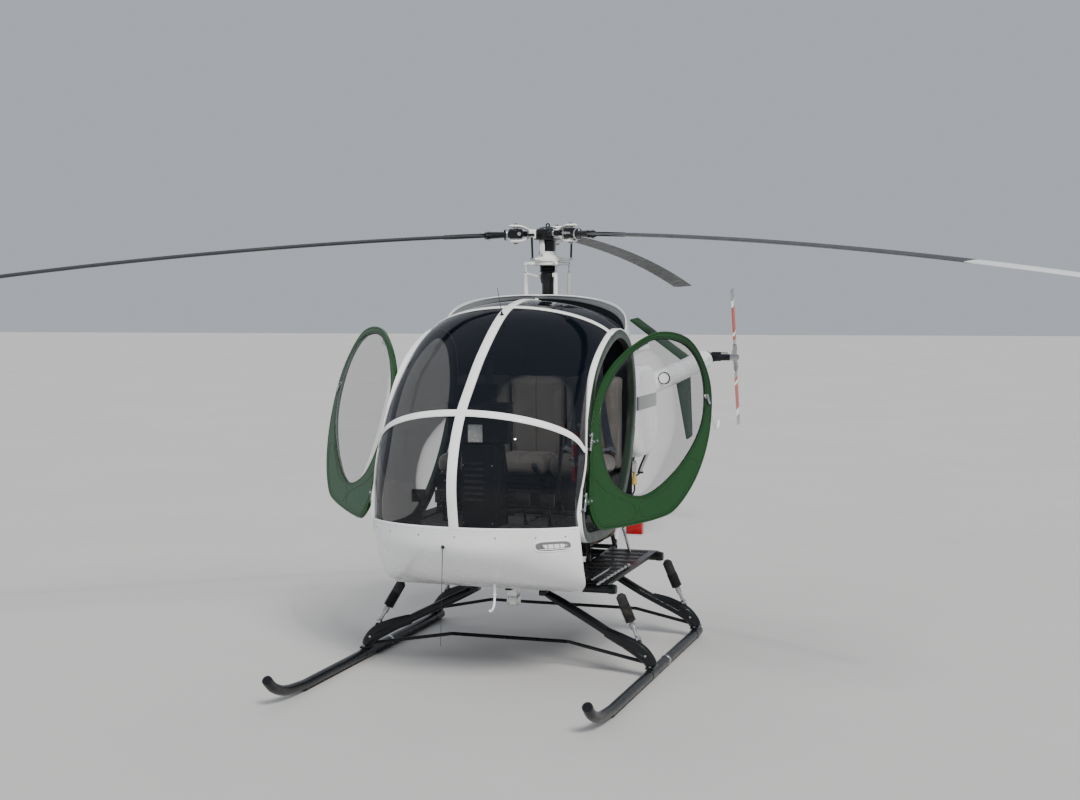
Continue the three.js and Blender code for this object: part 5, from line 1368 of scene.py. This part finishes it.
SECTION = ((0, 0), (0.012, 0.12), (0.04, 0.24), (0.1, 0.37), (0.2, 0.46), (0.32, 0.5), (0.5, 0.46), (0.7, 0.34),
    (0.86, 0.18), (1, 0.045))


def wing_ring(lead, trail, normal, thick):
    """Points around a wing's section between its leading and trailing edges."""
    lead, trail, normal = (np.asarray(v, float) for v in (lead, trail, normal))
    upper = [lead + (trail - lead) * t + normal * h * thick for t, h in SECTION]
    lower = [lead + (trail - lead) * t - normal * h * thick for t, h in SECTION[:0:-1]]
    return np.array(upper + lower)


STABILIZER_Y = 4180
STABILIZER_TILT = radians(36)
STABILIZER_ROOT = 68
STABILIZER_SPAN = 640
stabilizer = Shape()
out = np.array([-cos(STABILIZER_TILT), 0, sin(STABILIZER_TILT)])
normal = np.array([sin(STABILIZER_TILT), 0, cos(STABILIZER_TILT)])
rings = []
for t, ease in ((0, 1), (0.3, 1), (0.6, 1), (0.97, 1), (0.985, 0.8), (1.0, 0.3)):
    reach = out * (STABILIZER_ROOT + STABILIZER_SPAN * t)
    front, rear = -165 + 25 * t + (1 - ease) * 18, 165 - (1 - ease) * 14
    lead, trail = (boom_at(STABILIZER_Y + edge) + reach for edge in (front, rear))
    rings.append(wing_ring(lead, trail, normal, 28 * ease))
stabilizer.ring(rings, 0, ends=True)
for t in (0.12, 0.4, 0.7, 0.95):
    for k in range(14):
        spot = boom_at(STABILIZER_Y - 120 + k * 20) + out * (STABILIZER_ROOT + STABILIZER_SPAN * t)
        stabilizer.rivet(spot + normal * 13.2, normal, 2.2)
make("tail_stabilizer", stabilizer, TAIL_GREEN_PAINTED_SHADE, "horizontal_stabilizer")

FIN_FRONT = 3500
FIN_SWEEP = 390
FIN_SPAN = 560
fin = Shape()
rings = []
for t, ease in ((0, 1), (0.4, 1), (0.75, 1), (0.97, 1), (0.985, 0.8), (1.0, 0.3)):
    front, rear = FIN_FRONT + FIN_SWEEP * t + (1 - ease) * 14, 4040 + 85 * t - (1 - ease) * 12
    lead, trail = (np.array([0, y, boom_at(y)[2] - BOOM_RADIUS + 3 - FIN_SPAN * t]) for y in (front, rear))
    rings.append(wing_ring(lead, trail, LEFT, 24 * ease))
fin.ring(rings, 0, ends=True)
for t in (0.06, 0.5, 0.93):
    for k in range(12):
        y = FIN_FRONT + FIN_SWEEP * t + 60 + k * (380 - 250 * t) / 11
        for side in (1, -1):
            fin.rivet((side * 11.4, y, boom_at(y)[2] - BOOM_RADIUS - FIN_SPAN * t), (side, 0, 0), 2.2)
make("lower_fin", fin, TAIL_GREEN_PAINTED_SHADE, "ventral_fin")

rear_box = Shape()
face = BOOM_REAR + boom_axis * 0.6
rear_box.lathe([(0, 0), (84, 0), (86, 3), (86, 17), (80, 22), (62, 36), (57, 48), (52, 118), (44, 128), (0, 130)],
    face, boom_axis, 56)
for out in round_boom(12):
    rear_box.bolt(face + boom_axis * 19 + out * 76, boom_axis, 4, 1)
rear_box.rod((0, 4625, 1600), (0, 4625, 1546), 18, sides=28)
x, y, z = TAIL_HUB
profile = [(0, -60), (44, -60), (48, -54), (48, 10), (54, 14), (54, 26), (46, 32), (42, 90), (36, 120), (38, 126),
    (38, 140), (32, 150), (30, 233), (0, 233)]
rear_box.lathe(profile, (0, y, z), LEFT, 40)
for c, s in circle(8):
    rear_box.bolt((26, y + 46 * c, z + 46 * s), LEFT, 3.6, 1)
for k in range(7):
    rear_box.lathe([(44, 0), (52, 1), (52, 3), (44, 4)], (-50 + k * 8, y, z), LEFT, 32)
rear_box.block((60, y - 12, z + 34), (150, y + 12, z + 50), 4)
rear_box.rod((120, y, z + 46), (215, y, z + 40), 6, finish=1)
make("tail_gear_case", rear_box, [BLACK, STEEL], "tail_gearbox")

stinger = Shape()
path = smooth([(0, 4625, 1544), (0, 4700, 1400), (0, 4850, 1180), (0, 5050, 975), (0, 5180, 945), (0, 5235, 1010)],
    80)
stinger.sweep(path, 11, 20)
stinger.lathe([(11, 0), (14, 2), (14, 22), (11, 24)], path[2], path[4] - path[2], 24)
make("tail_guard_skid", stinger, WHITE, "tail_skid")

# Landing gear, built on the left and mirrored

# Columns: name, foot's y, pivot's y and z, and the head of the damper.
STRUTS = (("front", -880.0, -770.0, 462.0, (700.0, -800.0, 510.0)),
    ("rear", 270.0, 200.0, 502.0, (740.0, 180.0, 550.0)))
TOE = ((-1690, 35), (-1780, 37.5), (-1975, 58), (-2112, 107), (-2194, 173))
FOLDS = 11
FOLD_LENGTH = 9.0


def runner():
    """A skid with its shoes, collars and upturned toe."""
    shape = Shape()
    tail = [(HALF_TRACK, y, SKID_Z) for y in (320, 312, -1600, -1690)]
    path = np.concatenate([tail, smooth([(HALF_TRACK, y, z) for y, z in TOE], 36)[1:]])
    radii = np.full(len(path), 30.0)
    radii[[0, -1, -2]] = 22, 20, 29
    shape.sweep(path, radii, 32, 0, up=LEFT)
    shape.block((912, -1772, 0), (948, 290, 7.6), 2, 1)
    for y in np.linspace(-1740, 260, 11):
        shape.block((909, y - 12, 3), (951, y + 12, 12), 2, 1)
    for y in (-880, 270):
        shape.lathe([(30, -70), (32.5, -68), (32.5, 68), (30, 70)], (HALF_TRACK, y, SKID_Z), AFT, 32)
    return shape.lathe([(30.2, 0), (33, 2), (33, 26), (30.2, 28)], (HALF_TRACK, -560, SKID_Z), AFT, 32, 2)


def step():
    """A step plate with its treads and outer edge."""
    shape = Shape()

    def plate(corners, lift, thick, soft=1.5, finish=0):
        base = [(x, y, 538.5 + 40.0 / 980.0 * (y + 800) + lift) for x, y in corners]
        shape.slab(base, (0, 0, thick), soft, finish)

    plate(((350, -820), (640, -820), (690, 200), (350, 200)), 0, 6)
    for y in range(-760, 121, 110):
        plate(((370, y), (630, y), (632, y + 46), (370, y + 46)), 6, 1.4, 0.5, 1)
    plate(((636, -760), (641, -760), (688, 140), (683, 140)), -14, 14)
    return shape


def leg(y, pivot_y, pivot_z):
    """A leg with the elbow that stands on the skid, its saddle and its pivot."""
    shape = Shape()
    path = ((225, pivot_y, pivot_z), (560, (pivot_y + y) / 2, 300), (820, y, 165), (905, y, 105), (930, y, 73.5))
    radii = np.interp(np.linspace(0, 1, 60), (0, 0.1, 0.6, 0.93, 1), (26, 34, 34, 33, 28))
    shape.sweep(smooth(path, 60), radii, 28, 0, 0.78)
    elbow = ((640, y * 0.75 + pivot_y * 0.25, 258), (740, y, 224), (820, y, 190), (874, y, 156), (912, y, 112),
        (930, y, 76))
    radii = np.interp(np.linspace(0, 1, 44), (0, 0.2, 0.5, 0.85, 1), (22, 29, 31, 29, 25))
    shape.sweep(smooth(elbow, 44), radii, 28, 0, 1.4)
    shape.block((904, y - 62, 66), (956, y + 62, 80), 4)
    for dy in (-48, 48):
        shape.bolt((930, y + dy, 79), UP, 7, 1)
    for dy in (-25, 25):
        shape.bolt((898, y + dy, 140), (0, dy, 0), 8, 1)
    shape.rod((849, y, 200), (850, y, 224.5), 12, finish=1)
    shape.lathe(spool(17, 14, 16, 15), (850, y, 214), AFT, 24)
    shape.block((202, pivot_y - 58, pivot_z - 14), (248, pivot_y + 18, pivot_z + 19), 6)
    return shape.bolt((248, pivot_y - 20, pivot_z + 3), LEFT, 7, 1)


def shock(y, head):
    """A damper with its rod, its collar and its folded bellows."""
    shape = Shape()
    foot, head = np.array((850.0, y, 225.5)), np.array(head)
    span = float(np.linalg.norm(head - foot))
    start = span * 0.36
    shape.lathe([(0, 1), (17, 1), (19, 4), (19, 20), (15, 24), (11, 27), (11, start)], foot, head - foot, 32, 1)
    shape.lathe([(11, start - 46), (17, start - 44), (18, start - 8), (13, start)], foot, head - foot, 32, 1)
    folds = [(13, start)]
    for k in range(FOLDS):
        d = start + 3 + k * FOLD_LENGTH
        folds += [(29, d + 1), (34, d + 3), (34, d + 4.5), (28, d + 7.5)]
    end = start + 3 + FOLDS * FOLD_LENGTH
    folds += [(31, end + 2), (31, span - 46), (26, span - 40), (17, span - 32), (17, span - 29), (0, span - 29)]
    return shape.lathe(folds, foot, head - foot, 40, 0)


for word, mirror in (("left", None), ("right", MIRROR)):
    skid = Shape().take(runner(), mirror)
    make(f"landing_skid_{word}", skid, [BLACK, DARK_STEEL, STEEL], f"skid_{word}")
    plate = Shape().take(step(), mirror)
    make(f"cabin_step_{word}", plate, [BLACK, RUBBER], f"step_plate_{word}")
    for place, y, pivot_y, pivot_z, head in STRUTS:
        strut = Shape().take(leg(y, pivot_y, pivot_z), mirror)
        make(f"{place}_leg_{word}", strut, [BLACK, STEEL], f"{place}_strut_{word}")
        damper = Shape().take(shock(y, head), mirror)
        make(f"{place}_shock_{word}", damper, [RUBBER, STEEL], f"{place}_damper_{word}")

half_braces = Shape()
for y, x, z, foot_y in ((-800, 381, 170, -880), (270, 519, 172, 270)):
    half_braces.rod((x, y, z), (890, foot_y, 96), 11)
    half_braces.rod((-380 if x == 381 else -x, y, z), (x, y, z), 11)
half_braces.rod((602, -905, 556), (640, -330, 578), 7, finish=1)
for k in range(9):
    at = (604.5 + k * 4.2, -868 + k * 64.0, 557.5 + k * 2.45)
    half_braces.lathe([(7, -16), (10, -15), (10, 15), (7, 16)], at, (0.066, 1, 0.038), 20, 1)
half_braces.rod((526, 95, 552), (530, -775, 556), 9, finish=1)
half_braces.rod((478, 100, 741), (532, 100, 556), 9, finish=1)
braces = Shape().take(half_braces).take(half_braces, MIRROR)
make("gear_brace_tubes", braces, [BLACK, STEEL])

lamp = Shape()
lamp.block((-32, -760, 420), (32, -680, 489), 5)
lamp.lathe([(0, 0), (36, 0), (42, 4), (44, 20), (42, 50), (38, 60), (0, 60)], (0, -715, 362), UP, 40)
lamp.lathe([(0, -5), (20, -3), (34, 1), (36, 2)], (0, -715, 362), UP, 40, 1)
lamp.block((-20, -820, 468), (20, -700, 481), 4, 2)
for x in (-22, 22):
    lamp.bolt((x, -760, 455), (0, -1, 0), 4)
make("nose_landing_lamp", lamp, [SILVER, LENS, BLACK], "landing_lamp")

# Main rotor


def droop(r):
    return HUB_Z - BLADE_DROOP * (0.7 * (r / ROTOR_RADIUS) ** 2 + 0.3 * r / ROTOR_RADIUS)


AEROFOIL = ((-0.28, 0), (-0.276, 0.14), (-0.262, 0.26), (-0.235, 0.37), (-0.18, 0.46), (-0.1, 0.5), (0.02, 0.49),
    (0.2, 0.41), (0.42, 0.26), (0.6, 0.13), (0.72, 0.04))


def blade_ring(r, chord, thick):
    half = [(c * chord, h * thick) for c, h in AEROFOIL]
    points = half + [(x, -h) for x, h in half[:0:-1]]
    return np.array([(x, r, droop(r) + h) for x, h in points])


def rotor_blade(tip_white):
    blade = Shape()
    stations = [(420, 84, 26), (440, 120, 26), (470, 160, 25), (520, 173, 24)]
    stations += [(r, 173, 24) for r in np.linspace(640, 4070, 40)]
    stations += [(4082, 168, 20), (4090, 150, 8)]
    blade.ring([blade_ring(*s) for s in stations], 0, ends=True)
    if tip_white:
        inboard = next(k for k, s in enumerate(stations) if s[0] > 3180)
        faces = 2 * len(AEROFOIL) - 1
        blade.finish[inboard * faces:] = [1] * (len(blade.finish) - inboard * faces)
    for k in range(8):
        for x in (-30, -8, 16, 40):
            r = 446 + k * 20
            blade.rivet((x * (0.6 + 0.05 * k), r, droop(r) + 11.4), UP, 4.0, 2)
            blade.rivet((x * (0.6 + 0.05 * k), r, droop(r) - 11.4), (0, 0, -1), 4.0, 2)
    cuff = ((-36, 422), (36, 422), (56, 600), (20, 690), (-20, 690), (-42, 600))
    for sign in (1, -1):
        blade.slab([(x, r, droop(r) + sign * 11) for x, r in cuff], (0, 0, sign * 3.0), 1.0)
    return blade


hub = Shape()
hub.lathe([(0, 2497.4), (74, 2497.4), (80, 2501), (80, 2519), (72, 2525), (52, 2552), (47, 2566), (0, 2566)],
    sides=48)
core = [(0, 2566), (45, 2566), (45, HUB_Z - 50), (58, HUB_Z - 45), (88, HUB_Z - 40), (93, HUB_Z - 35),
    (93, HUB_Z + 19), (88, HUB_Z + 25)]
core += [(64, HUB_Z + 32), (50, HUB_Z + 40), (30, HUB_Z + 44), (14, HUB_Z + 46), (0, HUB_Z + 46)]
hub.lathe(core, sides=48, finish=1)
hub.sweep([(11 * c, 0, HUB_Z + 54 + 11 * s) for c, s in circle(24)], 4.5, 10, 1, closed=True)
for c, s in circle(8):
    hub.bolt((72 * c, 72 * s, HUB_Z + 28), UP, 6, 2)
FORK = [(0, 104, 16), (0, 130, 26), (0, 165, 42), (0, 200, 49), (0, 235, 50), (0, 262, 50)]
for angle in (0, 120, 240):
    arm = Shape()
    arm.block((-31, 62, HUB_Z - 34), (31, 132, HUB_Z + 26), 7, 0, 3)
    for sign in (1, -1):
        prong = smooth([(x, y, HUB_Z + sign * z - 2) for x, y, z in FORK], 24)
        width = np.interp(np.linspace(0, 1, 24), (0, 0.2, 0.4, 0.7, 0.9, 1), (24, 25, 30, 39, 30, 12))
        arm.sweep(prong, width, 28, 0, 0.3)
        arm.lathe([(0, 8), (16, 8), (16, 13), (13, 15), (0, 15)], (0, 215, HUB_Z + sign * 50 - 2), (0, 0, sign), 28,
            1)
        arm.bolt((0, 215, HUB_Z + sign * 64 - 2), (0, 0, sign), 7, 2)
    arm.rod((0, 215, HUB_Z - 48), (0, 215, HUB_Z + 46), 17, sides=28, finish=2)
    arm.block((-29, 172, HUB_Z - 34), (29, 262, HUB_Z + 30), 11, 1, 3)
    for x in (-30, 30):
        arm.lathe([(0, 0), (12, 0), (12, 5), (0, 6)], (x * 0.97, 200, HUB_Z - 2), (x, 0, 0), 20, 2)
    root = [(0, 250, HUB_Z - 8), (0, 290, HUB_Z - 9), (0, 372, HUB_Z - 12), (0, 419, HUB_Z - 15)]
    arm.sweep(root, [33, 36, 42, 42], 32, 1, 0.55)
    arm.lathe([(36, 0), (40, 2), (40, 10), (36, 12)], (0, 276, HUB_Z - 9), (0, 1, -0.04), 32, 2)
    for x in (-22, 22):
        arm.bolt((x, 398, HUB_Z + 7), UP, 8, 2)
        arm.bolt((x, 398, HUB_Z - 37), (0, 0, -1), 8, 2)
    arm.block((-108, 112, HUB_Z - 21), (-24, 147, HUB_Z - 3), 6, 1)
    arm.rod((-93, 129, HUB_Z - 14), (-90, 124, 2514), 7, sides=20, finish=1)
    arm.rod((-36, 50, 2512), (-90, 124, 2514), 12, 9, sides=20)
    arm.lathe(spool(13, 11, 12, 10), (-93, 129, HUB_Z - 14), (0, 0.1, 1), 24, 2)
    arm.lathe(spool(12, 11, 12, 9), (-90, 124, 2514), (0.8, 0.6, 0), 24, 2)
    arm.rod((60, 70, HUB_Z - 2), (52, 176, HUB_Z), 19, sides=28, finish=1)
    arm.lathe([(19, 0), (21, 2), (21, 10), (19, 12)], (57, 118, HUB_Z - 1), (-0.04, 1, 0), 28, 2)
    arm.rod((52, 170, HUB_Z), (34, 250, HUB_Z - 2), 7, sides=16, finish=2)
    hub.take(arm, spin(angle))
link = Shape()
link.slab([(x, -58, z) for x, z in ((-16, 2646), (14, 2646), (20, 2590), (18, 2530), (-8, 2522), (-18, 2580))],
    (0, -13, 0), 3)
for x, z in ((-4, 2634), (4, 2540)):
    link.rod((x, -45, z), (x, -74, z), 7, finish=2)
for angle in (20, 200):
    hub.take(link, spin(-angle))
hub = Shape().take(hub, spin(ROTOR_ANGLE))
make("rotor_head", hub, [WHITE_WORKING, BLACK, STEEL], "rotor_hub", "main_rotor")
for n, angle in enumerate((0, 120, 240)):
    blade = Shape().take(rotor_blade(n == 2), spin(ROTOR_ANGLE + angle))
    finishes = [BLADE_GREY, WHITE, STEEL]
    make(f"main_blade_{n + 1}", blade, finishes, f"rotor_blade_{n + 1}", "main_rotor")

# Tail rotor

tail_turn = Matrix.Translation(TAIL_HUB) @ spin(TAIL_ROTOR_ANGLE, "X")
tail_hub = Shape()
tail_hub.lathe([(0, -49), (22, -49), (28, -46), (28, 20), (24, 24), (24, 30), (14, 34), (0, 36)], (0, 0, 0), LEFT, 40)
tail_hub.rod((0, 0, -129), (0, 0, 129), 16, sides=28)
for sign in (1, -1):
    tail_hub.block((-17, -20, sign * 52), (17, 20, sign * 126), 5)
    tail_hub.bolt((17, 0, sign * 90), LEFT, 6, 1)
    tail_hub.rod((-42, 26, sign * 8), (-14, 40, sign * 96), 5, finish=1)
tail_hub = Shape().take(tail_hub, tail_turn)
make("tail_rotor_head", tail_hub, [CAST, STEEL], "tail_rotor_hub", "tail_rotor")
TAIL_AEROFOIL = ((-0.3, 0), (-0.295, 0.14), (-0.28, 0.27), (-0.24, 0.4), (-0.15, 0.49), (0.0, 0.5), (0.2, 0.42),
    (0.45, 0.25), (0.7, 0.05))
# Radii along the tail blade; its bands of colour start and end at close pairs of them.
TAIL_STATIONS = (180, 215, 217, 250, 252, 290, 400, 490, 492, 555, 557, 630)


def tail_ring(r, chord, thick=15.0):
    half = [(h * thick, c * chord) for c, h in TAIL_AEROFOIL]
    return np.array([(x, y, r) for x, y in half + [(-x, y) for x, y in half[:0:-1]]])


for n in (1, 2):
    blade = Shape()
    stations = [(130.5, 56), (142, 80), (158, 122), *((r, 122) for r in TAIL_STATIONS), (646, 116), (650, 104)]
    blade.ring([tail_ring(*s) for s in stations], 0, ends=True)
    span = 2 * len(TAIL_AEROFOIL) - 1
    for k in range(len(stations) - 1):
        middle = (stations[k][0] + stations[k + 1][0]) / 2
        finish = 2 if middle < 180 or middle > 557 else 1 if 217 < middle < 250 or 492 < middle < 555 else 0
        blade.finish[k * span:(k + 1) * span] = [finish] * span
    blade.finish[-2:] = [2, 2]
    piece = Shape().take(blade, tail_turn @ spin(180 * (n - 1), "X"))
    finishes = [TAIL_RED, WHITE, STEEL]
    make(f"tail_blade_{n}", piece, finishes, f"tail_rotor_blade_{n}", "tail_rotor")

# Floor, light and camera

ground = bpy.data.meshes.new("studio_floor")
ground.from_pydata([(-60, -60, 0), (60, -60, 0), (60, 60, 0), (-60, 60, 0)], [], [(0, 1, 2, 3)])
floor_finish = Finish("studio_floor_finish", (0.43, 0.427, 0.42), 0.8)
ground.materials.append(floor_finish.vary(0.5, 0.03).done(3.0, 0.1))
mesh_object("studio_floor", ground)

world = bpy.data.worlds.new("studio")
bpy.context.scene.world = world
world.use_nodes = True
background = world.node_tree.nodes["Background"].inputs
background["Color"].default_value = (0.50, 0.53, 0.58, 1)
background["Strength"].default_value = 0.9


def sun(name, toward, strength, spread, colour=(1, 1, 1), mirrored=False):
    """A far lamp that lights the floor evenly, with shadows as soft as its spread in degrees."""
    light = bpy.data.lights.new(name, "SUN")
    light.energy, light.color, light.angle = strength, colour, radians(spread)
    thing = bpy.data.objects.new(name, light)
    bpy.context.scene.collection.objects.link(thing)
    thing.rotation_euler = Vector(toward).to_track_quat("-Z", "Y").to_euler()
    thing.visible_glossy = mirrored


sun("key", (-0.50, 0.62, -0.78), 4.0, 22.0, (1.0, 0.97, 0.93))
sun("fill", (0.8, 0.55, -0.45), 0.9, 60.0, (0.93, 0.96, 1.0))
sun("back", (0.2, -0.8, -0.6), 0.8, 60.0)
sun("glint", (-0.50, 0.62, -0.78), 0.4, 1.5, (1.0, 0.97, 0.93), True)

CAMERA_AT = (3.287, -9.832 + SHIFT, 2.346)
YAW, PITCH, ROLL = (radians(a) for a in (18.81, -4.18, -0.39))
forward = Vector((-sin(YAW) * cos(PITCH), cos(YAW) * cos(PITCH), sin(PITCH)))
right = Vector((cos(YAW), sin(YAW), 0))
up = right.cross(forward)
right, up = right * cos(ROLL) + up * sin(ROLL), up * cos(ROLL) - right * sin(ROLL)
lens = bpy.data.cameras.new("photo_camera")
lens.sensor_fit, lens.sensor_width, lens.lens = "HORIZONTAL", 36.0, 52.42
camera = bpy.data.objects.new("photo_camera", lens)
bpy.context.scene.collection.objects.link(camera)
turn = Matrix((right, up, -forward)).transposed().to_4x4()
camera.matrix_world = Matrix.Translation(CAMERA_AT) @ turn
bpy.context.scene.camera = camera
